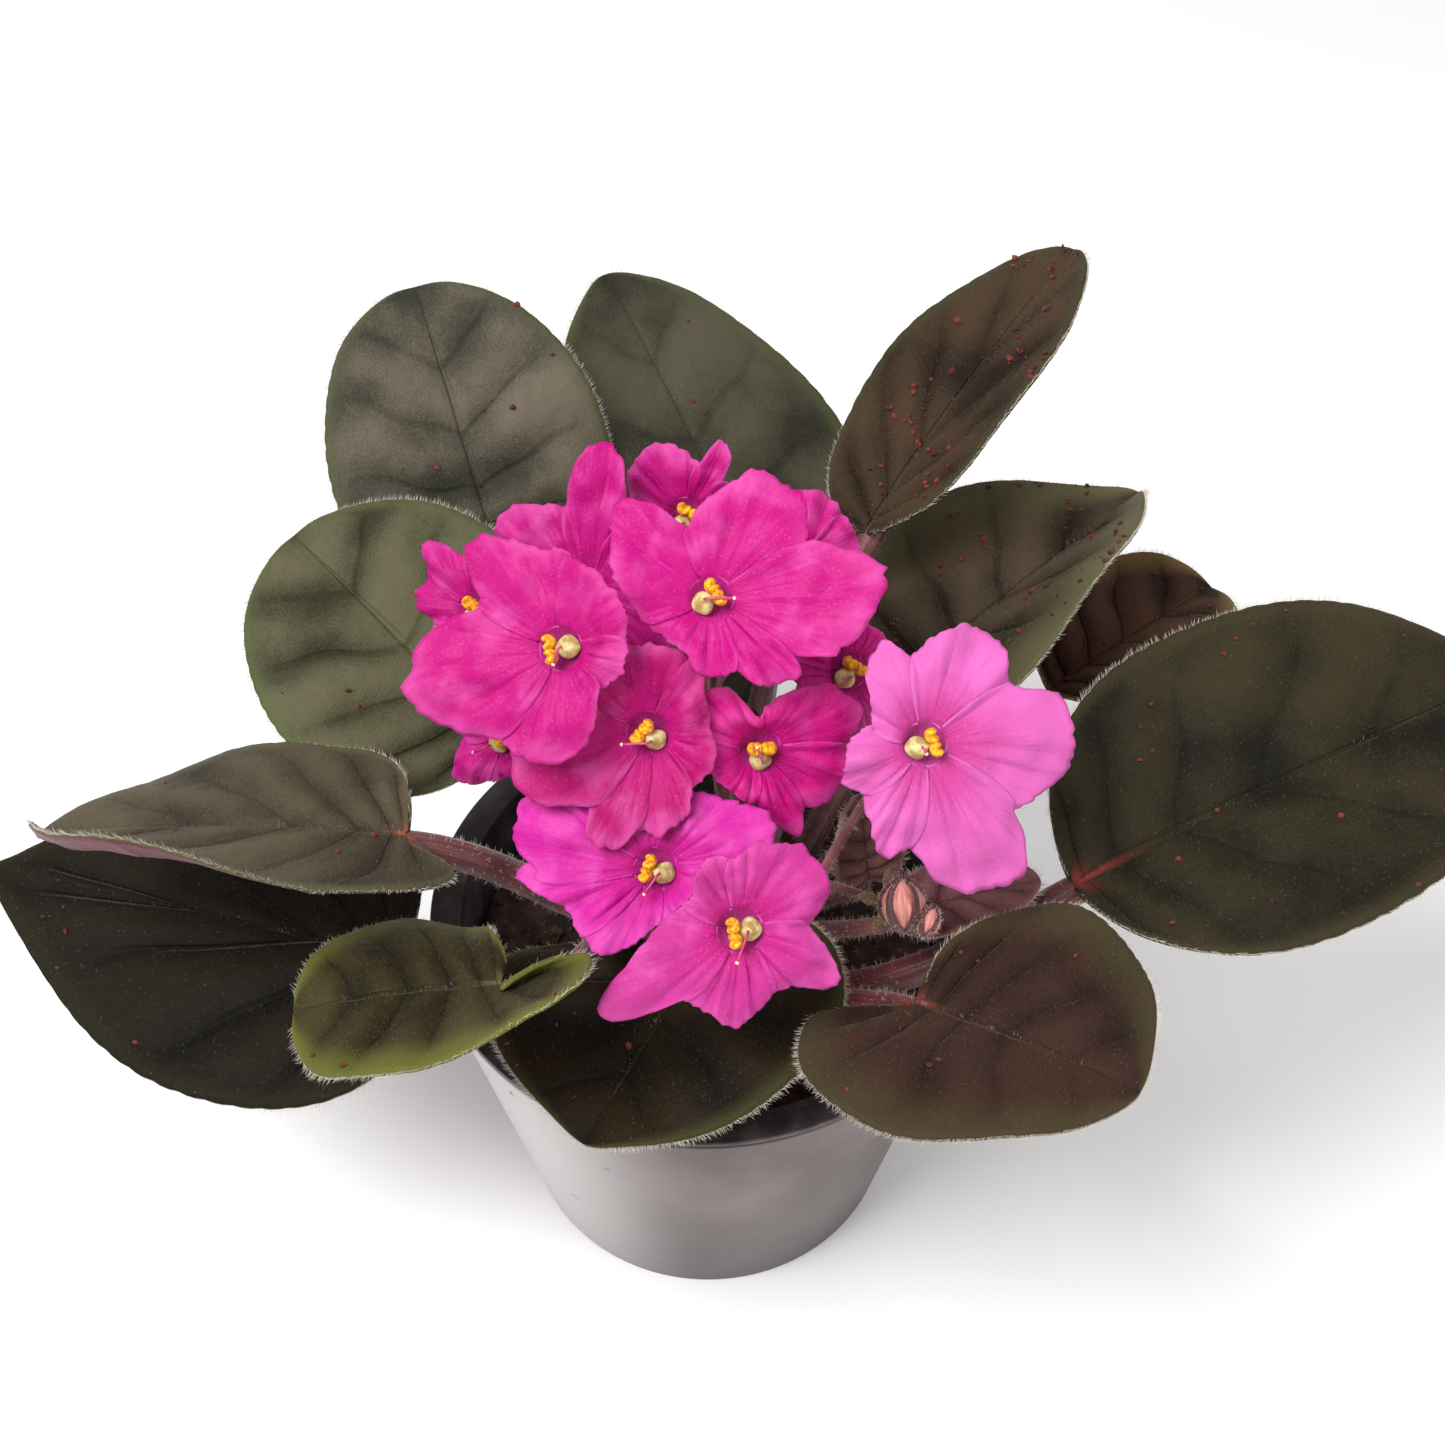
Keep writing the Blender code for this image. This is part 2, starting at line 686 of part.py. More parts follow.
def stalk_path(leaf):
    """The stalk from the crown to the joint, then on under the midrib, with a radius at each point."""
    joint, _, along, _, up = blade_frame(leaf)
    radius = leaf.stalk / 2 * MM
    foot_level = direction(leaf.foot[0], 0)
    foot = Vector((CROWN_PLACE[0], CROWN_PLACE[1], TIER_HEIGHTS[leaf.tier])) * MM
    lean = math.sin(math.radians(leaf.foot[1]))
    foot += foot_level * ((TIER_RADII[leaf.tier] + GAP) * MM + radius * 1.1 * lean)
    under = joint - up * (radius - BLADE_THICKNESS / 4 * MM)
    span = (under - foot).length
    leave = foot + direction(*leaf.foot) * span * 0.4
    bend = math.radians(leaf.droop) / 2
    arriving = along * math.cos(bend) + up * math.sin(bend)
    arrive = under - arriving * span * 0.3
    points = bezier(foot, leave, arrive, under, STALK_POINTS)
    radii = [radius * (1.1 - 0.1 * index / (STALK_POINTS - 1)) for index in range(STALK_POINTS)]
    for share in (RIB_SHARE / 2, RIB_SHARE):
        slim = radius * (1 - share / RIB_SHARE * 0.72)
        on_rib = blade_point(leaf, rib_share_to_row(share), 0)
        points.append(on_rib - up * (slim - BLADE_THICKNESS / 4 * MM))
        radii.append(slim)
    return points, radii


def make_leaf(leaf):
    young = leaf.name in YOUNG_LEAVES
    rows = YOUNG_ROWS if young else BLADE_ROWS
    columns = YOUNG_COLUMNS if young else BLADE_COLUMNS
    look = YOUNG_RED if young else YOUNG_GREEN if leaf.name.endswith("young") else LEAF_GREEN
    mesh = sheet(leaf.name, rows, columns, lambda s, t: blade_point(leaf, s, t))
    blade = add_part(leaf.name, mesh, look)
    solidify(blade, BLADE_THICKNESS)
    points, radii = stalk_path(leaf)
    stalk = add_helper(leaf.name + "_stalk", tube_mesh(leaf.name + "_stalk", points, radii))
    boolean(blade, stalk, "UNION")


def flower_frame(heading, rise):
    """Axes of a flower: across (the level +X laid into its plane), up, and the way it faces."""
    facing = direction(heading, rise)
    across = (Vector((1, 0, 0)) - facing * facing.x).normalized()
    return across, facing.cross(across), facing


def petal_reach(reaches, part):
    """A petal's reach at a part (0 to 1) of its span, on a smooth curve through its five reaches."""
    place = part * 4
    index = min(int(place), 3)
    u = place - index
    start = reaches[index]
    end = reaches[index + 1]
    leaving = (end - reaches[max(index - 1, 0)]) / 2
    arriving = (reaches[min(index + 2, 4)] - start) / 2
    ease = u * u * (3 - 2 * u)
    return start + (end - start) * ease + leaving * u * (1 - u) ** 2 - arriving * u * u * (1 - u)


def petal_edge(bloom, u):
    """Direction, length and lift of the flower's edge at u, which runs 0 to 1 round all the petals."""
    petals = bloom.petals
    place = u % 1 * len(petals)
    index = int(place)
    part = place - index
    start, end, reaches, lift = petals[index]
    length = max(petal_reach(reaches, part), THROAT_RADIUS + 2)
    other = petals[(index - 1 if part < 0.5 else index + 1) % len(petals)][3]
    lift_at_notch = (lift + other) / 2
    lift = lift_at_notch + (lift - lift_at_notch) * math.sin(math.pi * part)
    ruffle = RUFFLE * math.sin(3 * math.pi * part + 1.7 * index)
    return math.radians(start + (end - start) * part), length, lift + ruffle


def bloom_point(bloom, s, t):
    """A point of the flower's middle surface: s from the throat's floor to the edge, t round it."""
    across, upward, facing = flower_frame(bloom.heading, bloom.rise)
    heading, length, lift = petal_edge(bloom, (t + 1) / 2)
    if s < 1 / 3 + 0.01:
        share = 3 * s
        radius = THROAT_RADIUS * share
        height = -THROAT_DEPTH * (1 - share**2)
    else:
        share = (3 * s - 1) / 2
        radius = THROAT_RADIUS + (length - THROAT_RADIUS) * share ** 0.85
        height = lift * share**1.6 + 0.8 * math.sin(math.pi * share)
    flat = across * math.cos(heading) + upward * math.sin(heading)
    return (Vector(bloom.place) + flat * radius + facing * height) * MM


def make_bloom(bloom):
    sectors = PETAL_SECTORS * len(bloom.petals)
    mesh = sheet(bloom.name, 3, sectors, lambda s, t: bloom_point(bloom, s, t))
    look = PETAL_PALE if bloom.name == "bloom_07" else PETAL_PINK
    solidify(add_part(bloom.name, mesh, look), PETAL_THICKNESS)


def ball_mesh(name, radius, stretch, place, segments=6, rings=3):
    work = bmesh.new()
    bmesh.ops.create_uvsphere(work, u_segments=segments, v_segments=rings, radius=radius * MM)
    for vert in work.verts:
        vert.co = Vector((vert.co.x, vert.co.y, vert.co.z * stretch)) + Vector(place) * MM
    mesh = bpy.data.meshes.new(name)
    work.to_mesh(mesh)
    work.free()
    mesh.shade_smooth()
    return mesh


def heart_mesh():
    """Two anthers and the ovary beside them, joined low down where they stand in the throat."""
    anther_height = 2.0
    heart = add_helper("heart", ball_mesh("heart", OVARY_RADIUS, 1.2, (-0.9, 0, OVARY_RADIUS)))
    for side in (-1, 1):
        place = (0.9, side, anther_height)
        anther = add_helper("anther", ball_mesh("anther", ANTHER_RADIUS, 1.0, place))
        boolean(heart, anther, "UNION")
    bpy.context.view_layer.update()
    mesh = evaluated_mesh(heart)
    for item in list(bpy.data.collections[HELPERS].objects):
        if item.name.startswith(("heart", "anther")):
            bpy.data.objects.remove(item)
    return mesh


def make_heart(bloom, shared):
    """The anthers and ovary of one flower, standing in its throat."""
    across, upward, facing = flower_frame(bloom.heading, bloom.rise)
    turn = math.radians(bloom.heart)
    toward = across * math.cos(turn) + upward * math.sin(turn)
    name = bloom.name.replace("bloom", "stamens")
    item = add_part(name, shared.copy(), POLLEN_YELLOW)
    low = PETAL_THICKNESS / 2 + GAP - THROAT_DEPTH + 1.15
    place = (Vector(bloom.place) + facing * low) * MM
    side = facing.cross(toward)
    basis = Matrix((toward, side, facing)).transposed().to_4x4()
    item.matrix_world = Matrix.Translation(place) @ basis


def pedicel_end(name):
    """Where a pedicel's calyx ends behind its flower or bud, and the way that faces."""
    if name == "bud":
        facing = direction(BUD_HEADING, BUD_RISE)
        return Vector(BUD_PLACE) - facing * (BUD_LENGTH / 2 + GAP), facing
    bloom = next(found for found in BLOOMS if found.name == name)
    facing = direction(bloom.heading, bloom.rise)
    return Vector(bloom.place) - facing * (THROAT_DEPTH + PETAL_THICKNESS / 2 + GAP), facing


def pedicel_mesh(name, fork, target):
    """A thin stalk from the fork to one flower, widened at its end into the calyx cup."""
    end, facing = pedicel_end(target)
    base = end - facing * CALYX_DEPTH
    span = (base - fork).length
    leave = fork + Vector((0, 0, 1)) * span * 0.15
    points = bezier(fork, leave, base - facing * span * 0.35, base, 4)
    points.append(end)
    radii = [PEDICEL_RADIUS] * 4 + [CALYX_RADIUS]
    return tube_mesh(name, [point * MM for point in points], [radius * MM for radius in radii])


def make_truss(truss):
    centre = Vector((CROWN_PLACE[0], CROWN_PLACE[1], CROWN_TOP + 0.9))
    foot = centre + direction(truss.foot, 0) * TRUSS_RING
    fork = Vector(truss.fork)
    span = (fork - foot).length
    leave = foot + direction(truss.foot, 70) * span * 0.35
    points = bezier(foot, leave, fork - Vector((0, 0, 1)) * span * 0.3, fork, 4)
    points.append(fork + Vector((0, 0, PEDUNCLE_RADIUS)))
    radii = [PEDUNCLE_RADIUS * MM] * 4 + [PEDUNCLE_RADIUS * 0.8 * MM]
    mesh = tube_mesh(truss.name, [point * MM for point in points], radii)
    stalk = add_part(truss.name, mesh, STALK_RED)
    for target in truss.blooms:
        name = target + "_pedicel"
        boolean(stalk, add_helper(name, pedicel_mesh(name, fork, target)), "UNION")


def make_bud():
    mesh = ball_mesh("bud", BUD_RADIUS, BUD_LENGTH / 2 / BUD_RADIUS, (0, 0, 0), 8, 6)
    bud = add_part("bud", mesh, BUD_PINK)
    across, upward, facing = flower_frame(BUD_HEADING, BUD_RISE)
    basis = Matrix((across, upward, facing)).transposed().to_4x4()
    bud.matrix_world = Matrix.Translation(Vector(BUD_PLACE) * MM) @ basis


def main():
    clear_scene()
    make_collection(PARTS)
    make_collection(HELPERS)
    make_outer_pot()
    make_nursery_pot()
    make_soil()
    make_crown()
    for leaf in LEAVES:
        make_leaf(leaf)
    shared_heart = heart_mesh()
    for bloom in BLOOMS:
        make_bloom(bloom)
        make_heart(bloom, shared_heart)
    for truss in TRUSSES:
        make_truss(truss)
    make_bud()


main()
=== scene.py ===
"""Potted african violet in bloom: velvety leaves with fine hairs, ruffled pink flowers, soil and two pots.

Sizes in the tables are in millimetres and degrees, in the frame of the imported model: the origin is the
centre of the outer pot's base, +Z is up, and the plant is looked at from -Y.
"""

import math
import random
from typing import NamedTuple

import bpy
from mathutils import Matrix, Vector, noise


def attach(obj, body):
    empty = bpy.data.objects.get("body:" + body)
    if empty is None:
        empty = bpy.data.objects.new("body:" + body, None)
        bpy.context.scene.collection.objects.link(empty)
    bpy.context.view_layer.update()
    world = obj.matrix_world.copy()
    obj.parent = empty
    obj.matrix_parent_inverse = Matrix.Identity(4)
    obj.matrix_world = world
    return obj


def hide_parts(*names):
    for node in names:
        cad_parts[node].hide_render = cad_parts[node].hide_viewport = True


bl_info = {
    "name": "Potted African Violet",
    "version": (1, 0, 0),
    "blender": (4, 5, 0),
    "location": "View3D > Sidebar > Violet",
    "description": "Models the leaves, flowers, stalks, soil and pots of a potted african violet",
    "category": "Add Mesh",
}

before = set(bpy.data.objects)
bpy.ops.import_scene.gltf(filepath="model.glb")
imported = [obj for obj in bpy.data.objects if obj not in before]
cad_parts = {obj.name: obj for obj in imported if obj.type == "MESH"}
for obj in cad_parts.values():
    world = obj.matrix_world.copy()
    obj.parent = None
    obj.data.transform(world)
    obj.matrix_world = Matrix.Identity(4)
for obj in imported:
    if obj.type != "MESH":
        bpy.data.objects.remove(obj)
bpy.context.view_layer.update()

MM = 0.001
GAP = 0.3
ROOT = "root"

# Pots and soil
RIM_RADIUS = 45.0
BASE_RADIUS = 32.5
OUTER_HEIGHT = 65.0
OUTER_WALL = 1.1
OUTER_FLOOR = 1.6
LIP_WIDTH = 5.0
LIP_THICKNESS = 1.0
NURSERY_WALL = 0.9
NURSERY_BASE_RADIUS = 28.0
DRAIN_HOLES = 4
DRAIN_RADIUS = 3.0
DRAIN_RING = 16.0
SOIL_TOP = 58.0

# Crown that the stalks spring from
CROWN_PLACE = (4.0, -8.0)
CROWN_RADIUS = 7.0
CROWN_FOOT = 50.0
CROWN_TOP = 77.0
TIER_HEIGHTS = (61.5, 66.5, 71.5, 78.8)
TIER_RADII = (7.0, 6.3, 5.8, 2.1)

# Leaf blades
CAD_BLADE_THICKNESS = 0.9
YOUNG_WIDTH = 20
BLADE_GRID = (84, 48)
YOUNG_GRID = (36, 20)
NOTCH_SPAN = 0.055  # parts of the margin's length that the notch, the lobes' rise and the tip take
CUP_SPAN = 0.12
TIP_SPAN = 0.08
TIP_POINT = 0.03
SIDE_VEINS = 6
VEIN_SWEEP = 2.1
WANDER = 0.05  # how far the veins stray, as a part of the length
QUILT_HEIGHT = 0.7
UNEVENNESS = 0.16
MIDRIB_DEPTH = 0.35
MIDRIB_WIDTH = 0.9
MARGIN_WAVES = 2.5
TEETH = 28
TEETH_DEPTH = 0.008
ROLL_START = 0.36  # part of the margin's length where a rolled margin begins
ROLL_GROWTH = 0.18
ROLL_ANGLE = 70
STALK_STEPS = 22
RIB_STEPS = 8
RIB_SHARE = 0.4  # part of the blade's length that the stalk runs on under

# Hairs and crumbs
MARGIN_HAIRS = 11  # on each side of a blade, to a millimetre of its width
BARE_END = 0.012  # part of the margin without them at either end
BARE_NOTCH = 0.12  # part of the margin where they thin out towards the notch
STALK_HAIRS = 11000  # to a metre of radius and a step of the route
LONG_HAIR = 0.7  # a longer hair bends once
SKIN_LIFT = 0.4  # from a blade's middle surface to its upper skin
CRUMB_SIZES = (0.0002, 0.0007)  # metres, as are the next two
LUMP_SIZES = (0.0005, 0.0016)
WELD = 0.000002
SOIL_LUMPS = 420

# Flowers
CAD_PETAL_THICKNESS = 0.7
THROAT_RADIUS = 3.4
THROAT_DEPTH = 2.2
THROAT_SHARE = 0.2  # of a petal's grid that lies in the throat
SHORTEST_PETAL = THROAT_RADIUS + 2
PETAL_GRID = (28, 44)
RUFFLE = 0.8
OVERLAP = 11.0  # degrees that a petal runs on over and under its neighbours
CALYX_RADIUS = 2.2
CALYX_DEPTH = 2.4
PEDICEL_RADIUS = 0.8
PEDUNCLE_RADIUS = 1.4
TRUSS_RING = 3.9
SEPALS = 5
SEPAL_SIZE = (2.2, 1.9)  # length and width
SEPAL_SPREAD = 3.4
SEPAL_THICKNESS = 0.4
BUD_SEPAL_THICKNESS = 0.3
BUD_PLACE = (29, -21, 93)
BUD_HEADING = -70
BUD_RISE = 50
SMALL_BUD_PLACE = (32.6, -23.5, 92)
BUD_RADIUS = 3.2
BUD_LENGTH = 8.0

# Lamps and the camera, placed in metres. The tilt and lens give the picture's viewing angle.
LAMP_AIM = (0, 0, 0.09)
CAMERA_PLACE = (0.0026, -0.2015, 0.3264)
CAMERA_TILT = 42.9
CAMERA_LENS = 50.0


class Leaf(NamedTuple):
    """One leaf. Pairs give the left half of the blade first, looking from joint to tip."""

    name: str
    joint: tuple  # where the stalk meets the blade
    tip: tuple
    width: float  # across the blade laid flat
    roll: float  # turn about the midrib that lifts the left half
    twist: float  # further turn of that kind, gained from joint to tip
    fold: tuple  # each half's rise at the midrib
    curl: tuple  # each half's further rise out to its margin
    droop: float  # turn of the midrib downwards, joint to tip
    lobe: tuple  # basal lobes' reach behind the joint, as parts of the length
    shape: tuple  # base and tip, each fuller below 1, and how much wider the base is than the tip
    cup: tuple  # rise of each basal lobe
    wave: float  # height of the waves in the margin
    stalk: float  # stalk thickness
    foot: tuple  # direction and rise of the stalk where it leaves the crown
    tier: int  # ring of stalks on the crown, 0 the lowest and 3 on its top


LEAVES = (
    Leaf(
        "leaf_back_left", (-36, 55, 94), (-50, 86, 126), 48, 0, 0, (8, 8), (-12, -12), 16,
        (0.2, 0.2), (0.85, 0.72, 0.1), (1.0, 1.0), 0.9, 4.4, (122, 22), 1,
    ),
    Leaf(
        "leaf_back", (9, 66, 78), (-19, 107, 114), 58, 6, 0, (6, 6), (-10, -10), 14,
        (0.4, 0.36), (0.8, 1.0, 0.2), (4.6, 5.0), 0.9, 4.4, (92, 34), 0,
    ),
    Leaf(
        "leaf_back_right", (27, 53, 100), (64, 97, 126), 35, -14, 0, (10, 18), (-10, 4), 14,
        (0.04, 0.02), (1.2, 0.85, 0.1), (1.0, 1.0), 0.8, 4.2, (68, 22), 2,
    ),
    Leaf(
        "leaf_right_back", (33, 33, 82), (75, 65, 98), 54, 4, -20, (12, 34), (-10, 4), 14,
        (0.16, 0.1), (0.8, 1.1, 0.22), (1.0, 1.0), 1.4, 4.2, (54, 22), 0,
    ),
    Leaf(
        "leaf_right_small", (60, 41, 73), (90, 60, 80), 34, 2, 0, (12, 24), (-8, 1), 12,
        (0.0, 0.0), (1.2, 0.62, 0.0), (0.5, 0.5), 0.8, 3.4, (38, 22), 1,
    ),
    Leaf(
        "leaf_right", (56, -12, 86), (125, 18, 100), 58, 12, 0, (8, 20), (-8, -4), 14,
        (0.0, 0.0), (1.0, 0.9, 0.1), (1.0, 1.0), 1.0, 4.8, (-34, 22), 0,
    ),
    Leaf(
        "leaf_front_right", (30, -37, 91), (58, -56, 97), 50, -6, 0, (10, 12), (-12, -12), 16,
        (0.05, 0.36), (0.85, 0.88, 0.15), (1.0, 1.0), 0.9, 4.2, (-62, 22), 1,
    ),
    Leaf(
        "leaf_front", (1, -18, 81), (-17, -51, 76), 52, -4, 0, (24, -4), (-10, -7), 20,
        (0.2, -0.2), (0.85, 1.05, 0.15), (1.0, -1.0), 1.0, 3.8, (-95, 45), 3,
    ),
    Leaf(
        "leaf_front_left_young", (-28, -38, 97), (-58, -38, 90), 38, 16, -22, (6, 8), (10, -50), 14,
        (0.5, -0.08), (0.48, 0.7, 0.1), (6.5, 1.0), 0.7, 3.4, (186, 42), 2,
    ),
    Leaf(
        "leaf_left_upper", (-44, -12, 98), (-98, -12, 98), 45, 6, 20, (12, 4), (14, -14), 16,
        (0.18, 0.0), (0.75, 1.0, 0.12), (1.0, 1.0), 0.9, 4.6, (180, 22), 1,
    ),
    Leaf(
        "leaf_left_lower", (-47, -18, 75), (-122, 6, 68), 53, -14, 0, (4, -4), (-10, -40), 16,
        (0.1, 0.0), (0.85, 2.3, 0.5), (1.0, 1.0), 1.0, 4.6, (196, 22), 0,
    ),
    Leaf(
        "leaf_left_back", (-34, 17, 88), (-68, 46, 105), 50, -12, 0, (6, 8), (-10, -10), 14,
        (0.06, 0.16), (0.85, 0.75, 0.1), (1.0, 1.0), 0.9, 4.2, (152, 22), 2,
    ),
    Leaf(
        "leaf_young_low", (30, -16, 84), (51, -11, 86), 14, 0, 0, (14, 14), (-8, -8), 12,
        (0.1, 0.1), (0.9, 0.9, 0.1), (0.3, 0.3), 0.5, 2.6, (-14, 22), 2,
    ),
    Leaf(
        "leaf_young_upright", (25, -8, 83), (23, -4, 98), 13, 0, 0, (14, 14), (8, 8), 6,
        (0.1, 0.1), (0.9, 0.9, 0.1), (0.3, 0.3), 0.5, 2.6, (16, 22), 2,
    ),
)


def tone(red, green, blue):
    """A colour that is seen as these 0 to 255 values, as the shader's linear one."""
    linear = []
    for value in (red, green, blue):
        value /= 255
        linear.append(value / 12.92 if value <= 0.04045 else ((value + 0.055) / 1.055) ** 2.4)
    return (*linear, 1)


class LeafLook(NamedTuple):
    """Colours of one leaf's upper side, with painted sheen on the pillows and painted shade in the grooves,
    and how many soil crumbs lie on it.
    """

    light: tuple  # pillows between the veins, lighter with painted sheen
    dark: tuple  # grooves, darker with painted shade
    edge: tuple
    rib: tuple  # midrib by the joint
    crumbs: int
    contrast: float = 1.0  # between the painted sheen on the pillows and the painted shade in the grooves
    edge_share: float = 0.14  # of the half width that takes the edge's colour


LEAF_LOOKS = {
    "leaf_back_left": LeafLook((101, 93, 79), (47, 47, 38), (76, 78, 54), (70, 96, 74), 8),
    "leaf_back": LeafLook((76, 72, 57), (37, 37, 28), (77, 80, 51), (70, 90, 66), 6),
    "leaf_back_right": LeafLook((65, 49, 34), (27, 17, 11), (61, 59, 38), (90, 60, 50), 90),
    "leaf_right_back": LeafLook((72, 60, 45), (24, 17, 12), (98, 95, 65), (96, 50, 44), 120, 1.5, 0.6),
    "leaf_right_small": LeafLook((82, 56, 42), (26, 13, 8), (116, 92, 54), (110, 46, 44), 8, 1.2, 0.4),
    "leaf_right": LeafLook((49, 43, 26), (17, 15, 7), (60, 53, 34), (140, 52, 50), 26),
    "leaf_front_right": LeafLook((54, 34, 27), (28, 14, 11), (68, 60, 38), (120, 56, 50), 10, 1.0, 0.45),
    "leaf_front": LeafLook((37, 27, 9), (13, 8, 3), (60, 60, 28), (90, 60, 40), 14),
    "leaf_front_left_young": LeafLook((64, 58, 30), (28, 22, 10), (104, 106, 42), (96, 92, 56), 8, 1.0, 0.4),
    "leaf_left_upper": LeafLook((82, 73, 57), (44, 38, 30), (84, 83, 59), (150, 78, 50), 8),
    "leaf_left_lower": LeafLook((22, 16, 5), (6, 4, 1), (32, 30, 16), (80, 50, 40), 14, 2.4),
    "leaf_left_back": LeafLook((89, 86, 63), (45, 45, 29), (80, 88, 54), (70, 86, 60), 10, 1.5),
    "leaf_young_low": LeafLook((128, 84, 88), (74, 40, 44), (140, 100, 96), (120, 60, 66), 0),
    "leaf_young_upright": LeafLook((120, 80, 80), (70, 40, 40), (134, 98, 90), (120, 60, 62), 0),
}
# Width of a margin that is turned up so that its underside shows, for the left and right half
ROLLED_MARGINS = {"leaf_left_upper": (3.4, 0.0)}
# Deep and pale colour of the stalks that aren't like the others
STALK_COLOURS = {
    "leaf_right": (tone(64, 10, 14), tone(104, 24, 28)),
    "leaf_front_right": (tone(70, 14, 18), tone(112, 34, 38)),
}
# How far a left basal lobe's inner margin leans over its own stalk, as a share of its reach behind the joint
LEANING_LOBES = {"leaf_front_left_young": 1.3}
# How far the side veins sweep on towards the tip, where it isn't VEIN_SWEEP
VEIN_SWEEPS = {"leaf_left_lower": 4.5, "leaf_left_upper": 3.0, "leaf_back_right": 3.2}


class Bloom(NamedTuple):
    """One flower, whose petals run counter-clockwise as seen from the front.

    Each petal is (the direction where it starts, its reach at five even steps from there to the next
    petal's start, the lift of its tip).
    """

    name: str
    place: tuple  # centre of the throat
    heading: float  # direction that the flower faces, from +X
    rise: float  # and how far it looks up
    heart: float  # direction of the anthers from the ovary
    petals: tuple


def flower(name, place, heading, rise, heart, *petals):
    return Bloom(name, place, heading, rise, heart, petals)


BLOOMS = (
    flower(
        "bloom_01", (1, 3, 132), -97, 52, 35,
        (25, (14.5, 19, 18.5, 14.5, 10.5), 2),
        (109, (10.5, 18.5, 15.5, 12, 10), 3),
        (200, (10, 8.5, 8.5, 11, 11), 1),
        (289, (11, 14, 15, 15.5, 17), 0),
        (319, (12.5, 19.5, 22.5, 24, 17.5), 2),
    ),
    flower(
        "bloom_02", (-20, -3, 128), -112, 44, 190,
        (6, (10, 11.5, 11.5, 12.5, 13), 3),
        (84, (13.5, 14, 17.5, 19.5, 13.5), 1),
        (152, (13, 19.5, 23.5, 20.5, 15.5), 0),
        (234, (15.5, 17, 15, 11.5, 8), 0),
        (316, (8, 9, 10, 10, 10), 1),
    ),
    flower(
        "bloom_03", (-8, -7, 115), -95, 30, 140,
        (60, (13, 14, 13.5, 11.5, 10), 2),
        (145, (10, 17, 20.5, 19, 13), 3),
        (232, (13.5, 16.5, 17.5, 16.5, 13.5), 5),
        (264, (13.5, 14, 13.5, 12.5, 10), 5),
        (310, (10, 10.5, 9, 10, 13), 1),
    ),
    flower(
        "bloom_04", (8, -6, 110), -80, 28, 90,
        (0, (13.5, 16, 14, 11, 7), 1),
        (82, (5.5, 6, 11.5, 13, 11), 1),
        (155, (11, 8.5, 7.5, 7, 8), 2),
        (262, (8, 9, 12, 15.5, 12.5), 0),
        (303, (12, 13, 13.5, 13.5, 13.5), 0),
    ),
    flower(
        "bloom_05", (-7, -20, 100), -100, 44, 160,
        (5, (15, 18.5, 15, 13, 12), -2),
        (75, (12, 9.5, 9, 12, 17.5), -4),
        (140, (17.5, 21.5, 22, 21, 18), 0),
        (183, (21, 17, 14.5, 14, 14), 2),
        (222, (14, 14.5, 12, 9.5, 7.5), 5),
        (275, (7.5, 6.5, 6.5, 7, 8), 3),
    ),
    flower(
        "bloom_06", (5, -37, 108), -85, 46, 190,
        (5, (9.5, 14, 14, 12.5, 10), 1),
        (99, (10, 11, 10, 8.5, 8.5), 3),
        (155, (8.5, 10.5, 14.5, 22, 12), 0),
        (231, (12, 12, 13, 11.5, 9.5), 0),
        (299, (9.5, 11, 15.5, 11.5, 9.5), 0),
    ),
    flower(
        "bloom_07", (31, -12, 118), -82, 44, 20,
        (34, (15, 17, 18, 16.5, 12.5), 0),
        (97, (12.5, 15.5, 12.5, 9, 7.5), 0),
        (165, (8.5, 10.5, 11.5, 12.5, 11), 0),
        (221, (11, 13.5, 15.5, 16.5, 15), 0),
        (263, (15, 20.5, 22.5, 23, 16), 0),
        (325, (16, 20, 21.5, 21, 15), 0),
    ),
    flower(
        "bloom_08", (-18, 23, 114), -100, 40, 60,
        (62, (12, 20.5, 23.5, 20.5, 13.5), 2),
        (104, (13.5, 15.5, 17.5, 16.5, 14), 1),
        (165, (14, 12, 11, 10, 9), 0),
        (235, (9, 10.5, 13, 15, 14.5), 0),
        (310, (14.5, 15.5, 14.5, 13.5, 12), 0),
    ),
    flower(
        "bloom_09", (-3, 36, 118), -90, 40, 60,
        (45, (8, 11.5, 13, 12.5, 8.5), 3),
        (76, (8.5, 11, 12.5, 11.5, 9.5), 1),
        (160, (9.5, 9.5, 10, 9.5, 9), 0),
        (245, (9, 9.5, 9.5, 9.5, 9), 0),
        (325, (9, 10, 11, 10.5, 8), 0),
    ),
    flower(
        "bloom_10", (15, 28, 116), -80, 44, 60,
        (0, (8.5, 9, 9.5, 9.5, 9.5), 0),
        (50, (9.5, 10.5, 11, 11, 10.5), 0),
        (98, (10.5, 14, 14.5, 12, 10), 0),
        (165, (10, 10, 10, 9.5, 9), 0),
        (260, (9, 9, 9, 9, 8.5), 0),
    ),
    flower(
        "bloom_11", (-35, 21, 112), -120, 40, 60,
        (95, (8.5, 9.5, 11.5, 14, 11), 1),
        (142, (11, 11, 11.5, 10.5, 8), 0),
        (190, (8, 8.5, 9, 9, 8.5), 0),
        (260, (8.5, 8.5, 8.5, 8, 8), 0),
        (350, (8, 8.5, 9, 9, 8.5), 0),
    ),
    flower(
        "bloom_12", (-31, 6, 100), -130, 20, 60,
        (195, (9.5, 11.5, 14.5, 13, 9.5), 0),
        (245, (9.5, 7.5, 6.5, 6.5, 6), 0),
        (310, (6, 7, 7, 7, 7), 0),
        (30, (7, 8, 8, 8, 8), 0),
        (110, (8, 9, 9, 9, 9.5), 0),
    ),
    flower(
        "bloom_13", (22, 17, 103), -60, 40, 60,
        (25, (8, 8.5, 8.5, 8.5, 8.5), 0),
        (95, (8.5, 9, 9, 9, 9), 0),
        (165, (9, 9, 9, 9, 9), 0),
        (235, (9, 10, 10.5, 10, 9.5), 0),
        (300, (9.5, 10.5, 10.5, 9.5, 8), 0),
    ),
)
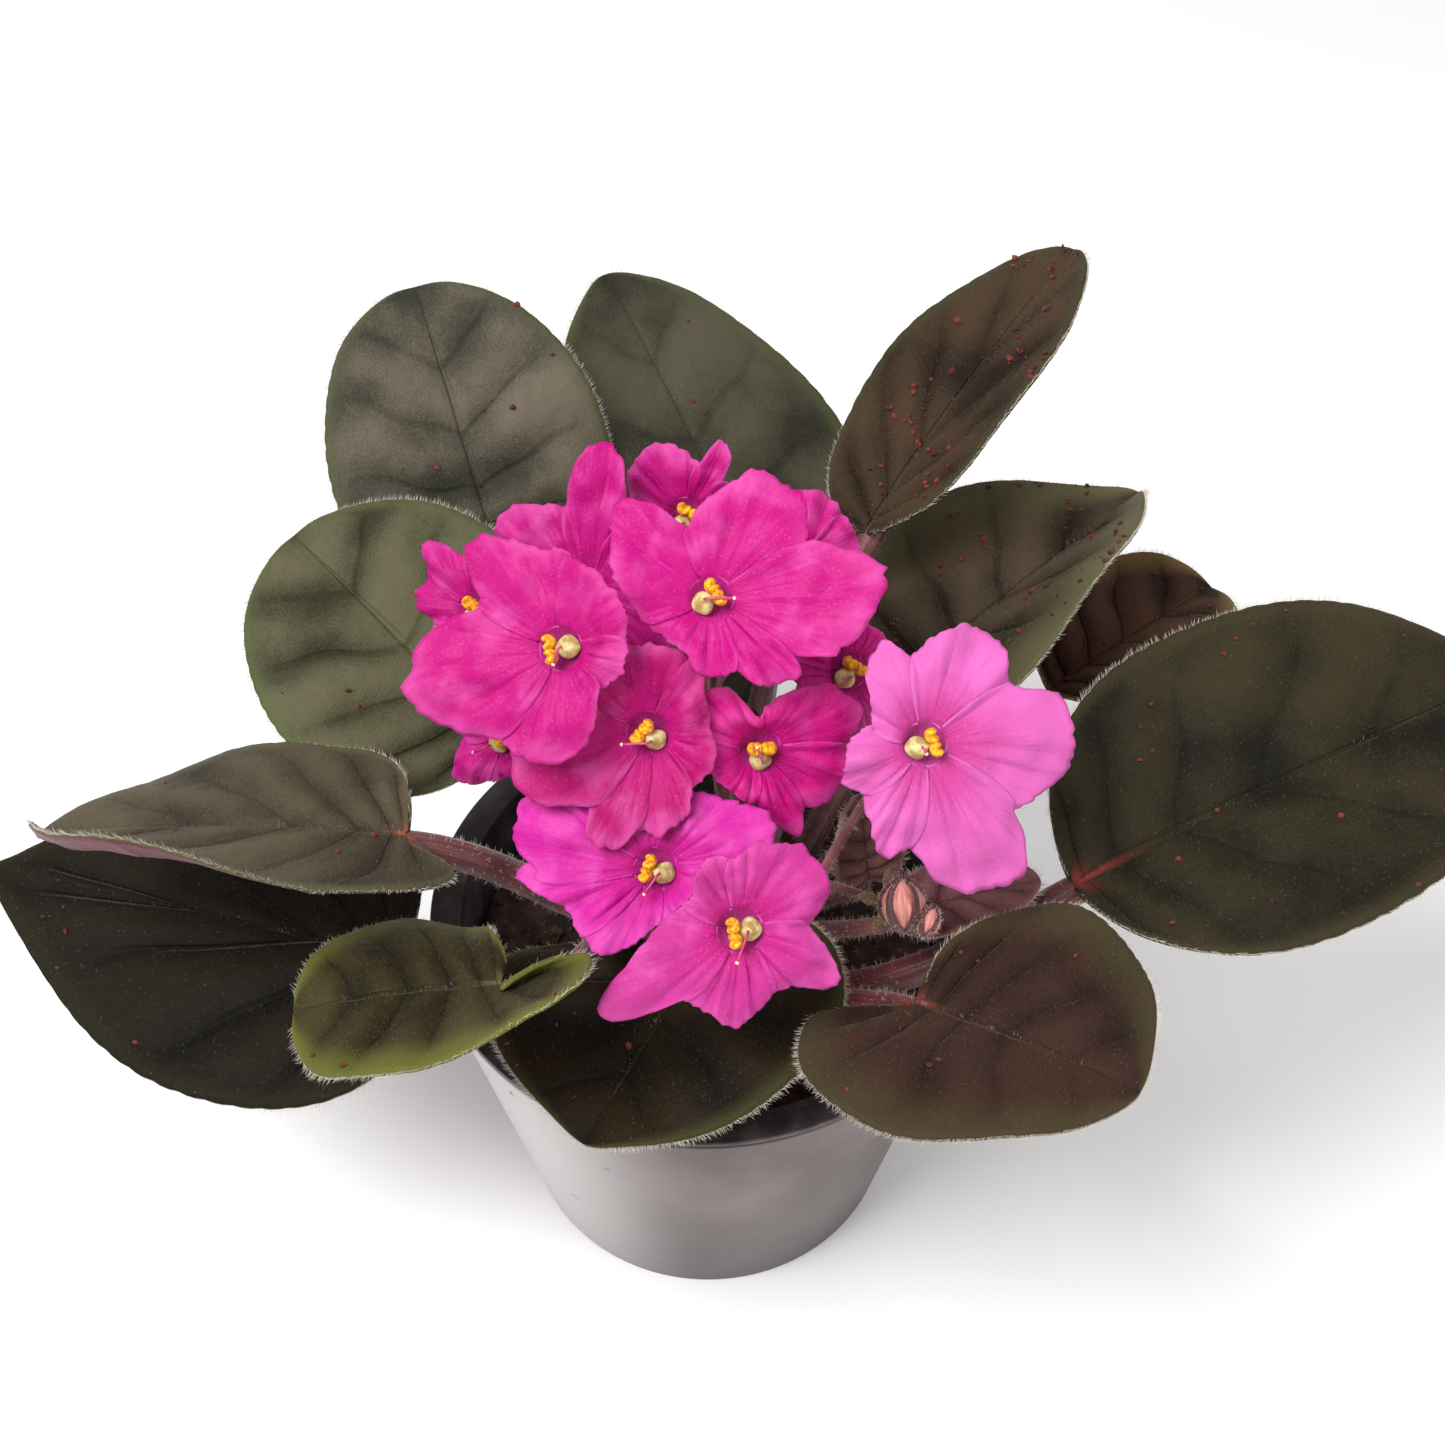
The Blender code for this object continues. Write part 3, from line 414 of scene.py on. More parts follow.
# Direction that an open flower's style lies in, as its petals' directions, and how far it reaches
STYLES = {
    "bloom_01": (0, 4.2),
    "bloom_02": (250, 2.6),
    "bloom_03": (185, 4.2),
    "bloom_04": (110, 2.6),
    "bloom_05": (235, 3.6),
    "bloom_06": (250, 4.4),
    "bloom_07": (300, 1.0),
}
# Petal colours that aren't the usual one. The darker colour of bloom_03 is partly its own and partly painted
# shade, for a flower that sits deep among the others.
PETAL_COLOURS = {
    "bloom_02": tone(174, 14, 112),
    "bloom_03": tone(166, 8, 98),
    "bloom_04": tone(196, 14, 122),
    "bloom_05": tone(192, 34, 146),
    "bloom_06": tone(176, 46, 128),
    "bloom_07": tone(196, 90, 162),
}


class Truss(NamedTuple):
    """One flower stalk that forks into a pedicel for each of its flowers."""

    name: str
    foot: float  # direction of its foot on the crown's top
    fork: tuple  # where it forks
    blooms: tuple


TRUSSES = (
    Truss("flower_stalk_centre", 90, (1, 16, 98), ("bloom_01", "bloom_08", "bloom_09", "bloom_10")),
    Truss("flower_stalk_left", 150, (-14, 5, 98), ("bloom_02", "bloom_11", "bloom_12")),
    Truss("flower_stalk_front", -160, (-4, -10, 87), ("bloom_03", "bloom_05", "bloom_06")),
    Truss("flower_stalk_middle", 30, (10, 3, 92), ("bloom_04", "bloom_13")),
    Truss("flower_stalk_right", -20, (17, -15, 90), ("bloom_07", "bud")),
)


class Wire:
    """One output of a shader node. Sums written with it add Math nodes."""

    def __init__(self, finish, socket):
        self.finish = finish
        self.socket = socket

    def __add__(self, other):
        return self.finish.math("ADD", self, other)

    def __sub__(self, other):
        return self.finish.math("SUBTRACT", self, other)

    def __rsub__(self, other):
        return self.finish.math("SUBTRACT", other, self)

    def __mul__(self, other):
        return self.finish.math("MULTIPLY", self, other)

    def __mod__(self, other):
        return self.finish.math("FLOORED_MODULO", self, other)

    def __abs__(self):
        return self.finish.math("ABSOLUTE", self)

    def ease(self, low, high):
        """0 below low, 1 above high and smooth between them."""
        settings = {"interpolation_type": "SMOOTHSTEP"}
        values = {"Value": self, "From Min": low, "From Max": high}
        return self.finish.node("ShaderNodeMapRange", settings, values, "Result")


class Finish:
    """A material on one Principled shader, with the nodes that feed it."""

    def __init__(self, name, roughness, steady=None):
        self.material = bpy.data.materials.new(name)
        self.material.use_nodes = True
        self.tree = self.material.node_tree
        self.shader = self.tree.nodes["Principled BSDF"]
        self.feed(self.shader.inputs["Roughness"], roughness)
        for key, value in (steady or {}).items():
            self.shader.inputs[key].default_value = value

    def feed(self, socket, value):
        if isinstance(value, Wire):
            self.tree.links.new(value.socket, socket)
        else:
            socket.default_value = value

    def node(self, kind, settings=None, values=None, output=0):
        """Any node: its settings first, then its sockets' values or links. Gives one of its outputs."""
        made = self.tree.nodes.new(kind)
        for key, value in (settings or {}).items():
            setattr(made, key, value)
        for key, value in (values or {}).items():
            self.feed(made.inputs[key], value)
        return Wire(self, made.outputs[output])

    def math(self, operation, first, second=0.0):
        return self.node("ShaderNodeMath", {"operation": operation}, {0: first, 1: second})

    def colour(self, value):
        self.feed(self.shader.inputs["Base Color"], value)

    def blend(self, share, first, second):
        """The first colour turning into the second as share goes from 0 to 1."""
        return self.node("ShaderNodeMix", {"data_type": "RGBA"}, {0: share, 6: first, 7: second}, 2)

    def place(self):
        return self.node("ShaderNodeTexCoord", output="Object")

    def level(self, axis):
        """How far along X, Y or Z a place is, in metres."""
        return self.node("ShaderNodeSeparateXYZ", values={"Vector": self.place()}, output=axis)

    def grid(self):
        """The two numbers, 0 to 1, that run along and across a piece made from a grid."""
        flat = self.node("ShaderNodeTexCoord", output="UV")
        return [self.node("ShaderNodeSeparateXYZ", values={"Vector": flat}, output=axis) for axis in (0, 1)]

    def flat(self, x, y):
        return self.node("ShaderNodeCombineXYZ", values={"X": x, "Y": y})

    def cloud(self, scale, detail=2.0, where=None):
        """Soft noise about 0.5. The scale is in blobs to a metre."""
        values = {"Vector": where or self.place(), "Scale": scale, "Detail": detail}
        return self.node("ShaderNodeTexNoise", None, values, "Fac")

    def cells(self, scale):
        """How far a place is from the nearest of many scattered points, 0 to about 1."""
        values = {"Vector": self.place(), "Scale": scale}
        return self.node("ShaderNodeTexVoronoi", None, values, "Distance")

    def relief(self, height, depth):
        """Bumps of a depth in metres where the height goes from 0 to 1."""
        bump = self.node("ShaderNodeBump", None, {"Height": height, "Distance": depth, "Strength": 1.0})
        self.feed(self.shader.inputs["Normal"], bump)


def settle():
    """Object mode with nothing selected, so that an operator acts on the new piece alone."""
    if bpy.context.mode != "OBJECT":
        bpy.ops.object.mode_set(mode="OBJECT")
    bpy.ops.object.select_all(action="DESELECT")


def activate(*pieces):
    settle()
    for piece in pieces:
        piece.select_set(True)
    bpy.context.view_layer.objects.active = pieces[0]


def tidy_mesh(piece, closed):
    """Welds a piece's doubled points, turns a closed one's faces outwards and shades it smooth."""
    activate(piece)
    bpy.ops.object.mode_set(mode="EDIT")
    bpy.ops.mesh.select_all(action="SELECT")
    bpy.ops.mesh.remove_doubles(threshold=WELD)
    if closed:
        bpy.ops.mesh.normals_make_consistent(inside=False)
    bpy.ops.object.mode_set(mode="OBJECT")
    bpy.ops.object.shade_smooth()


def shaped_grid(name, rows, columns, place, closed=False):
    """A grid bent to a rule: its point at s (0 to 1) and t (-1 to 1) moves to place(s, t), in metres."""
    settle()
    bpy.ops.mesh.primitive_grid_add(x_subdivisions=rows, y_subdivisions=columns, size=2)
    piece = bpy.context.object
    piece.name = name
    for vert in piece.data.vertices:
        vert.co = place((vert.co.x + 1) / 2, vert.co.y)
    tidy_mesh(piece, closed)
    return piece


def direction(heading, rise):
    """The way at an angle from +X, seen from above, that rises by another."""
    turn = math.radians(heading)
    lift = math.radians(rise)
    return Vector((math.cos(lift) * math.cos(turn), math.cos(lift) * math.sin(turn), math.sin(lift)))


def around(turn, across, upward):
    """The way at an angle from one way, towards another that is square to it."""
    return across * math.cos(turn) + upward * math.sin(turn)


def polar(radius, turn, height):
    return Vector((radius * math.cos(turn), radius * math.sin(turn), height))


def tube(name, points, radii, sides):
    """A round stalk through the points, in metres, drawn together at both ends."""
    ways = []
    for index in range(len(points)):
        after = points[min(index + 1, len(points) - 1)]
        before = points[max(index - 1, 0)]
        ways.append((after - before).normalized())
    across = ways[0].orthogonal().normalized()
    rings = []
    for way in ways:
        across = (across - way * across.dot(way)).normalized()
        rings.append((across, way.cross(across)))
    last = len(points) + 1

    def place(s, t):
        row = round(s * last)
        index = min(max(row - 1, 0), len(points) - 1)
        radius = 0 if row in (0, last) else radii[index]
        return points[index] + around(math.pi * t, *rings[index]) * radius

    return shaped_grid(name, last, sides, place, closed=True)


def ball(name, radius, place, shape, segments, rings):
    """A sphere whose points are moved by shape(point), in millimetres, before it goes to its place."""

    def ball_point(s, t):
        point = polar(math.sin(math.pi * s), math.pi * (t + 0.5), -math.cos(math.pi * s)) * radius
        return (Vector(shape(point)) + Vector(place)) * MM

    return shaped_grid(name, rings, segments, ball_point, closed=True)


def curve_points(start, leave, arrive, end, count):
    """Points along a cubic curve, both ends included."""
    points = []
    for index in range(count):
        u = index / (count - 1)
        v = 1 - u
        points.append(v**3 * start + 3 * v * v * u * leave + 3 * v * u * u * arrive + u**3 * end)
    return points


def paint(piece, *finishes):
    piece.data.materials.clear()
    for finish in finishes:
        piece.data.materials.append(finish)


def thicken(piece, thickness, other_side=0):
    """Gives a sheet its thickness. Its back takes the material that is other_side slots further on."""
    activate(piece)
    wall = piece.modifiers.new("thickness", "SOLIDIFY")
    wall.thickness = thickness
    wall.offset = 0.0
    wall.material_offset = other_side
    bpy.ops.object.modifier_apply(modifier=wall.name)


def join(name, pieces):
    activate(*pieces)
    bpy.ops.object.join()
    piece = bpy.context.object
    piece.name = name
    piece.data.name = name
    return piece


def hand_over(piece, node, stands_for=True):
    """Lets a finished piece ride on the plant and, where it does, stand for its node."""
    activate(piece)
    bpy.ops.object.transform_apply(location=True, rotation=True, scale=True)
    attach(piece, ROOT)
    if stands_for:
        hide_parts(node)


def loose_piece(name, points, faces, finish):
    mesh = bpy.data.meshes.new(name)
    mesh.from_pydata(points, [], faces)
    mesh.materials.append(finish)
    piece = bpy.data.objects.new(name, mesh)
    bpy.context.scene.collection.objects.link(piece)
    return piece


def hair_piece(name, hairs, finish):
    """Fine hairs in one mesh. Each is (root, way, length, thickness), and a long one bends once."""
    points = []
    faces = []
    for root, way, length, thickness in hairs:
        first = way.orthogonal().normalized() * thickness / 2
        second = way.cross(first)
        start = len(points)
        ring = [first, second * 0.87 - first * 0.5, -second * 0.87 - first * 0.5]
        points.extend(root + spoke for spoke in ring)
        if length > LONG_HAIR * MM:
            bend = (way + Vector((0, 0, 0.35))).normalized()
            middle = root + way * length * 0.55
            points.extend(middle + spoke * 0.7 for spoke in ring)
            points.append(middle + bend * length * 0.45)
            for index in range(3):
                after = (index + 1) % 3
                faces.append((start + index, start + after, start + 3 + after, start + 3 + index))
                faces.append((start + 3 + index, start + 3 + after, start + 6))
        else:
            points.append(root + way * length)
            faces.extend((start + index, start + (index + 1) % 3, start + 3) for index in range(3))
    piece = loose_piece(name, points, faces, finish)
    piece.data.shade_smooth()
    return piece


def scattered(piece, count, chance, allowed=None):
    """Places spread evenly over a mesh, as (point, outward way)."""
    mesh = piece.data
    faces = [face for face in mesh.polygons if allowed is None or allowed(face)]
    picked = chance.choices(faces, weights=[face.area for face in faces], k=count)
    found = []
    for face in picked:
        corners = [mesh.vertices[index].co for index in face.vertices]
        shares = [chance.random() + 0.01 for _ in corners]
        total = sum(shares)
        point = sum((corner * share / total for corner, share in zip(corners, shares)), Vector())
        found.append((point, face.normal.copy()))
    return found


def leaning(chance, way, lean, lowest=-1):
    """A way turned a little at random. Its upward part is at least the lowest share of the lean."""
    tilt = Vector((chance.uniform(-1, 1), chance.uniform(-1, 1), chance.uniform(lowest, 1)))
    return (way + tilt * lean).normalized()


def fuzz(places, chance, length, thickness, lean=0.45):
    """Hairs that stand on these places, each leaning its own way."""
    hairs = []
    for point, way in places:
        leant = leaning(chance, way, lean)
        hairs.append((point - way * 0.00005, leant, length * chance.uniform(0.6, 1.2), thickness))
    return hairs


def on_skin(places):
    """Places on a blade's middle surface, moved to its upper skin."""
    return [(point + way * SKIN_LIFT * MM, way) for point, way in places]


def crumb_pieces(name, places, sizes, finish, chance):
    """Small rough lumps in these places, copies of one lump that are turned and stretched."""
    settle()
    bpy.ops.mesh.primitive_ico_sphere_add(subdivisions=1, radius=1)
    lump = bpy.context.object
    for vert in lump.data.vertices:
        vert.co *= chance.uniform(0.7, 1.15)
    points = []
    faces = []
    for point, way in places:
        size = chance.uniform(*sizes)
        turn = Matrix.Rotation(chance.uniform(0, 6.28), 3, "X")
        turn @= Matrix.Rotation(chance.uniform(0, 6.28), 3, "Z")
        stretch = Vector((size, size * chance.uniform(0.5, 1), size * chance.uniform(0.5, 0.9)))
        start = len(points)
        for vert in lump.data.vertices:
            points.append(point + way * size * 0.4 + turn @ Vector(vert.co * stretch))
        faces.extend([start + index for index in face.vertices] for face in lump.data.polygons)
    bpy.data.objects.remove(lump)
    return loose_piece(name, points, faces, finish)


def hair_finish(name, root_colour, tip_colour):
    """Pale see-through hairs, a little darker in places."""
    finish = Finish(name, 0.45, {"Sheen Weight": 0.2})
    finish.colour(finish.blend(finish.cloud(300), root_colour, tip_colour))
    return finish.material


def crumb_finish(name, light, dark):
    finish = Finish(name, 0.9)
    finish.colour(finish.blend(finish.cloud(350, 3).ease(0.35, 0.65), dark, light))
    finish.relief(finish.cloud(3000), 0.0002)
    return finish.material


def hand_over_hairs(node, hairs, root_colour=tone(150, 120, 112), tip_colour=tone(214, 196, 184)):
    """The pale hairs of a node that other pieces stand for."""
    finish = hair_finish("hairs of " + node, root_colour, tip_colour)
    hand_over(hair_piece(node + "_hairs", hairs, finish), node, stands_for=False)


def vein_lanes(along):
    """0 on a side vein and 1 halfway between two of them."""
    return abs((along * SIDE_VEINS + 0.5) % 1 - 0.5) * 2


def leaf_top_finish(name, look):
    """Velvet with painted sheen on the pillows and painted shade in the grooves, with a paler edge and a
    coloured midrib by the joint.
    """
    light, dark, edge, midrib = (tone(*seen) for seen in (look.light, look.dark, look.edge, look.rib))
    sheen = {"Sheen Weight": 0.18, "Sheen Roughness": 0.45, "Sheen Tint": tone(150, 145, 120)}
    finish = Finish(name, 0.65, {**sheen, "Specular IOR Level": 0.12})
    along, across = finish.grid()
    reach = abs(across * 2 - 1)
    lane = vein_lanes(along)
    # Masks for the painted shade in the grooves and the painted sheen on the pillows between them, which also
    # shape the bumps
    groove = (1 - lane.ease(0.0, 0.2)) * (1 - reach.ease(0.6, 1.0))
    pillow = lane.ease(0.0, 1.0) * (1 - reach.ease(0.8, 1.0) * 0.5)
    rib = 1 - reach.ease(0.015, 0.05)
    mottle = finish.cloud(45, 4)
    velvet = finish.cloud(2600, 2)
    net = finish.cells(420)
    share = (pillow * 0.24 - groove * 0.1) * look.contrast + (mottle - 0.5) * 1.9
    share = share + (velvet - 0.5) * 0.6 + 0.36
    colour = finish.blend(share.ease(0.0, 0.85), dark, light)
    colour = finish.blend(reach.ease(1 - look.edge_share, 1.0) * 0.7, colour, edge)
    colour = finish.blend(rib * (1 - along.ease(0.15, 0.45)) * 0.85, colour, midrib)
    blush = (1 - along.ease(0.08, 0.26)) * (1 - reach.ease(0.0, 0.3))
    colour = finish.blend(blush * 0.7, colour, midrib)
    specks = finish.cloud(1700, 1).ease(0.72, 0.8)
    finish.colour(finish.blend(specks * 0.12, colour, tone(160, 154, 134)))
    finish.relief(velvet * 0.35 + net * 0.4 - groove * 0.5 * look.contrast - rib * 0.8, 0.0004)
    return finish.material


def leaf_back_finish(name, deep, pale):
    """Burgundy underside with standing veins."""
    finish = Finish(name, 0.6, {"Sheen Weight": 0.12, "Sheen Roughness": 0.4, "Specular IOR Level": 0.2})
    along, across = finish.grid()
    reach = abs(across * 2 - 1)
    lane = vein_lanes(along)
    vein = (1 - lane.ease(0.0, 0.2)) * (1 - reach.ease(0.8, 1.0))
    mottle = finish.cloud(70, 3) + (finish.cloud(2400) - 0.5) * 0.6
    colour = finish.blend(mottle.ease(0.3, 0.75), deep, pale)
    finish.colour(finish.blend(vein * 0.4, colour, tone(140, 76, 88)))
    finish.relief(vein + finish.cloud(1800) * 0.3, 0.0004)
    return finish.material


def stalk_finish(name, deep, pale):
    """Translucent red stalk, streaked along its length."""
    finish = Finish(name, 0.42, {"Sheen Weight": 0.25, "Subsurface Weight": 0.1, "Subsurface Scale": 0.001})
    along, across = finish.grid()
    streaks = finish.cloud(1.0, 2, finish.flat(along * 3, across * 22))
    colour = finish.blend((streaks + finish.cloud(160, 2) - 0.5).ease(0.25, 0.75), deep, pale)
    finish.colour(colour)
    finish.relief(streaks + finish.cloud(2500) * 0.4, 0.0002)
    return finish.material


def margin(lobe, shape, s):
    """Margin of a flat blade of length 1 and half width 1, from the notch at s = 0 to the tip at s = 1."""
    turn = math.pi * (1 - s)
    along = (1 - lobe) / 2 + (1 + lobe) / 2 * math.cos(turn)
    along += lobe * math.exp(-((s / NOTCH_SPAN) ** 2))
    along += TIP_POINT * math.exp(-(((1 - s) / TIP_SPAN) ** 2))
    tipward = (1 + math.cos(turn)) / 2
    base, tip, egg = shape
    power = tip * tipward + base * (1 - tipward)
    out = math.sin(turn) ** power * (1 - egg * math.cos(turn))
    return along / (1 + TIP_POINT), out


def blade_frame(leaf):
    """A blade's joint and length, and its ways along, to the left and up, before it droops."""
    joint = Vector(leaf.joint) * MM
    along = Vector(leaf.tip) * MM - joint
    chord = along.length
    along.normalize()
    left = Vector((0, 0, 1)).cross(along).normalized()
    left = Matrix.Rotation(math.radians(leaf.roll), 3, along) @ left
    return joint, chord, along, left, along.cross(left)


def blade_point(leaf, s, t):
    """A point of the blade's middle surface: s runs along the margin and t across, 0 on the midrib."""
    joint, chord, along, left, up = blade_frame(leaf)
    bend = math.radians(leaf.droop)
    length = chord * (bend / 2) / math.sin(bend / 2)
    half_width = leaf.width / 2 * MM
    half = 0 if t > 0 else 1
    reach = abs(t)
    ends = math.sin(math.pi * s)
    between = 4 * reach * (1 - reach)
    wander = noise.noise(Vector((s * 4, t * 2, leaf.width))) * WANDER * between * ends
    edge_along, edge_out = margin(leaf.lobe[half], leaf.shape, s + wander)
    teeth = TEETH_DEPTH * abs(math.sin(TEETH * math.pi * s)) * reach**8 * ends
    sweep = VEIN_SWEEPS.get(leaf.name, VEIN_SWEEP)
    x = length * ((s + wander) ** sweep * (1 - reach) + edge_along * reach)
    y = half_width * edge_out * reach * (1 + teeth)
    if half == 0:
        y += LEANING_LOBES.get(leaf.name, 0) * min(0, x) * math.exp(-((s / 0.1) ** 2))
    rolled = ROLLED_MARGINS.get(leaf.name, (0, 0))[half] * MM
    rolled *= min(1, max(0, (s - ROLL_START) / ROLL_GROWTH), (1 - s) / 0.05)
    turned_up = max(0, reach - 0.88) / 0.12 * rolled
    turn = bend / 2 - bend * x / length
    spine = (math.sin(bend / 2) - math.sin(turn)) * length / bend
    sag = (math.cos(turn) - math.cos(bend / 2)) * length / bend
    fold = math.radians(leaf.fold[half])
    curl = math.radians(leaf.curl[half]) / half_width
    out = (math.sin(fold + curl * y) - math.sin(fold)) / curl
    rise = (math.cos(fold) - math.cos(fold + curl * y)) / curl
    pillow = math.sqrt(math.sin(math.pi * SIDE_VEINS * s) ** 2 + 0.04) * 2 - 1
    rise += QUILT_HEIGHT * MM * pillow * between * ends
    ripple = math.sin(2 * math.pi * MARGIN_WAVES * s + leaf.foot[0] + 2 * half)
    rise += leaf.wave * MM * reach**3 * ends * ripple
    near_base = s / CUP_SPAN * math.exp(1 - s / CUP_SPAN) * (1 - s)
    rise += leaf.cup[half] * MM * reach**2 * near_base
    rise -= MIDRIB_DEPTH * MM * math.exp(-((y / MM / MIDRIB_WIDTH) ** 2)) * ends
    if turned_up:
        lean = math.radians(ROLL_ANGLE) * min(1, turned_up / MM / 0.8)
        out += turned_up * math.cos(lean)
        rise += turned_up * math.sin(lean)
    small = Vector((x / MM * 0.4, math.copysign(y, t) / MM * 0.4, leaf.joint[0]))
    rise += UNEVENNESS * MM * noise.noise(small) * min(1, ends * 3)
    normal = up * math.cos(turn) - along * math.sin(turn)
    forward = along * math.cos(turn) + up * math.sin(turn)
    gained = Matrix.Rotation(math.radians(leaf.twist) * x / length, 3, forward)
    outward = left if t > 0 else -left
    return joint + along * spine + up * sag + gained @ (outward * out + normal * rise)


def stalk_route(leaf, steps):
    """The stalk from the crown to the joint, then on under the midrib, with a radius at each point."""
    joint, _, along, _, up = blade_frame(leaf)
    radius = leaf.stalk / 2 * MM
    foot = Vector((CROWN_PLACE[0], CROWN_PLACE[1], TIER_HEIGHTS[leaf.tier])) * MM
    lean = math.sin(math.radians(leaf.foot[1]))
    foot += direction(leaf.foot[0], 0) * ((TIER_RADII[leaf.tier] + GAP) * MM + radius * 1.1 * lean)
    under = joint - up * (radius - CAD_BLADE_THICKNESS / 4 * MM)
    span = (under - foot).length
    leave = foot + direction(*leaf.foot) * span * 0.4
    bend = math.radians(leaf.droop) / 2
    arriving = along * math.cos(bend) + up * math.sin(bend)
    points = curve_points(foot, leave, under - arriving * span * 0.3, under, steps)
    radii = [radius * (1.1 - 0.1 * index / (steps - 1)) for index in range(steps)]
    for index in range(1, RIB_STEPS + 1):
        share = index / RIB_STEPS * RIB_SHARE * 2
        slim = radius * max(0.1, 1 - share / RIB_SHARE * 0.72) if share < RIB_SHARE * 1.2 else radius * 0.12
        on_rib = blade_point(leaf, share ** (1 / VEIN_SWEEPS.get(leaf.name, VEIN_SWEEP)), 0)
        points.append(on_rib - up * (slim - CAD_BLADE_THICKNESS / 4 * MM))
        radii.append(slim)
    return points, radii


def margin_hairs(leaf, chance, length, thickness):
    """Hairs that stand out all along the margin of a blade."""
    hairs = []
    count = int(leaf.width * MARGIN_HAIRS)
    for side in (-1, 1):
        for index in range(count):
            s = BARE_END + (1 - 2 * BARE_END) * (index + chance.random()) / count
            if chance.random() > s / BARE_NOTCH:
                continue
            edge = blade_point(leaf, s, side)
            outward = (edge - blade_point(leaf, s, side * 0.96)).normalized()
            way = leaning(chance, outward, 0.5, -0.6)
            hairs.append((edge - outward * 0.0001, way, length * chance.uniform(0.6, 1.3), thickness))
    return hairs


def model_leaf(leaf, settings):
    """One leaf with its stalk, soil crumbs and hairs."""
    look = LEAF_LOOKS[leaf.name]
    chance = random.Random(leaf.name)
    grid = YOUNG_GRID if leaf.width < YOUNG_WIDTH else BLADE_GRID
    blade = shaped_grid("blade", *grid, lambda s, t: blade_point(leaf, s, t))
    area = sum(face.area for face in blade.data.polygons) * 1e6
    surface = scattered(blade, int(area * settings.hair_cover), chance)
    length = settings.hair_length
    thickness = settings.hair_thickness
    velvet = fuzz(on_skin(surface), chance, length * 0.5, thickness * 0.6)
    hairs = margin_hairs(leaf, chance, length, thickness)
    crumbs = []
    if look.crumbs:
        places = scattered(blade, look.crumbs, chance, lambda face: noise.noise(face.center * 120) > 0.12)
        rust = crumb_finish("soil crumbs on " + leaf.name, tone(120, 48, 36), tone(62, 26, 20))
        crumbs.append(crumb_pieces("crumbs", on_skin(places), CRUMB_SIZES, rust, chance))
    top = leaf_top_finish("velvet " + leaf.name, look)
    back = leaf_back_finish("underside " + leaf.name, tuple(settings.underside), tone(114, 50, 62))
    paint(blade, top, back)
    thicken(blade, settings.blade_thickness, other_side=1)
    points, radii = stalk_route(leaf, STALK_STEPS)
    stalk = tube("stalk", points, radii, 14)
    skin = STALK_COLOURS.get(leaf.name, (settings.stalk, tone(112, 58, 58)))
    paint(stalk, stalk_finish("stalk of " + leaf.name, *skin))
    on_stalk = scattered(stalk, int(radii[0] * len(points) * STALK_HAIRS), chance)
    hairs += fuzz(on_stalk, chance, length * 0.8, thickness * 0.7, 0.3)
    hand_over(join(leaf.name + "_blade", [blade, stalk, *crumbs]), leaf.name)
    # The velvet hairs' roots take the pillows' colour, painted sheen included
    dim = hair_finish("velvet hairs of " + leaf.name, tone(*look.light), tone(128, 122, 100))
    pale = hair_finish("hairs of " + leaf.name, tone(176, 158, 140), tone(238, 232, 218))
    pair = [hair_piece("velvet", velvet, dim), hair_piece("fringe", hairs, pale)]
    hand_over(join(leaf.name + "_hairs", pair), leaf.name, stands_for=False)


def flower_frame(heading, rise):
    """Axes of a flower: across (the level +X laid into its plane), up, and the way it faces."""
    facing = direction(heading, rise)
    across = (Vector((1, 0, 0)) - facing * facing.x).normalized()
    return across, facing.cross(across), facing


def petal_reach(reaches, part):
    """A petal's reach at a part (0 to 1) of its span, on a smooth curve through its five reaches."""
    place = part * 4
    index = min(int(place), 3)
    u = place - index
    start = reaches[index]
    end = reaches[index + 1]
    leaving = (end - reaches[max(index - 1, 0)]) / 2
    arriving = (reaches[min(index + 2, 4)] - start) / 2
    ease = u * u * (3 - 2 * u)
    return start + (end - start) * ease + leaving * u * (1 - u) ** 2 - arriving * u * u * (1 - u)


def petal_span(bloom, index):
    """The directions where a petal and the next one start, the second always the larger."""
    start = bloom.petals[index][0]
    following = bloom.petals[(index + 1) % len(bloom.petals)][0]
    return start, start + (following - start) % 360


def petal_height(bloom, heading, radius):
    """Height of the flower's face over its plane, the same for both petals that meet in a direction."""
    for index, (_, reaches, lift) in enumerate(bloom.petals):
        start, end = petal_span(bloom, index)
        part = (heading - start) % 360 / (end - start)
        if part < 1:
            break
    other = bloom.petals[(index - 1 if part < 0.5 else index + 1) % len(bloom.petals)][2]
    lift_at_notch = (lift + other) / 2
    swell = math.sin(math.pi * part)
    reach = max(petal_reach(reaches, part), SHORTEST_PETAL)
    share = min(1.1, max(0.0, (radius - THROAT_RADIUS) / (reach - THROAT_RADIUS)))
    away = min(1, share * 2.5)
    ruffle = RUFFLE * math.sin(3 * math.pi * part + 1.7 * index) * swell
    height = (lift_at_notch + (lift - lift_at_notch) * swell + ruffle) * share**1.6
    height += 0.8 * math.sin(math.pi * min(1, share)) + 0.8 * (swell**0.7 - 0.6) * away * (1 - 0.5 * share)
    own = bloom.place[0] * 0.7
    turn = math.radians(heading)
    height += noise.noise(polar(radius * 0.24, turn, own)) * away
    crease = noise.noise(polar(2.6, turn, own + 11))
    height -= 0.55 * math.exp(-((crease / 0.1) ** 2)) * away * (1 - 0.3 * share)
    height += 0.4 * noise.noise(polar(7, turn, radius * 0.08 + own)) * away
    height += 1.2 * noise.noise(polar(3.6, turn, own + 7.5)) * share**3
    height += 0.5 * noise.noise(polar(11, turn, own + 3.5)) * share**6
    return height


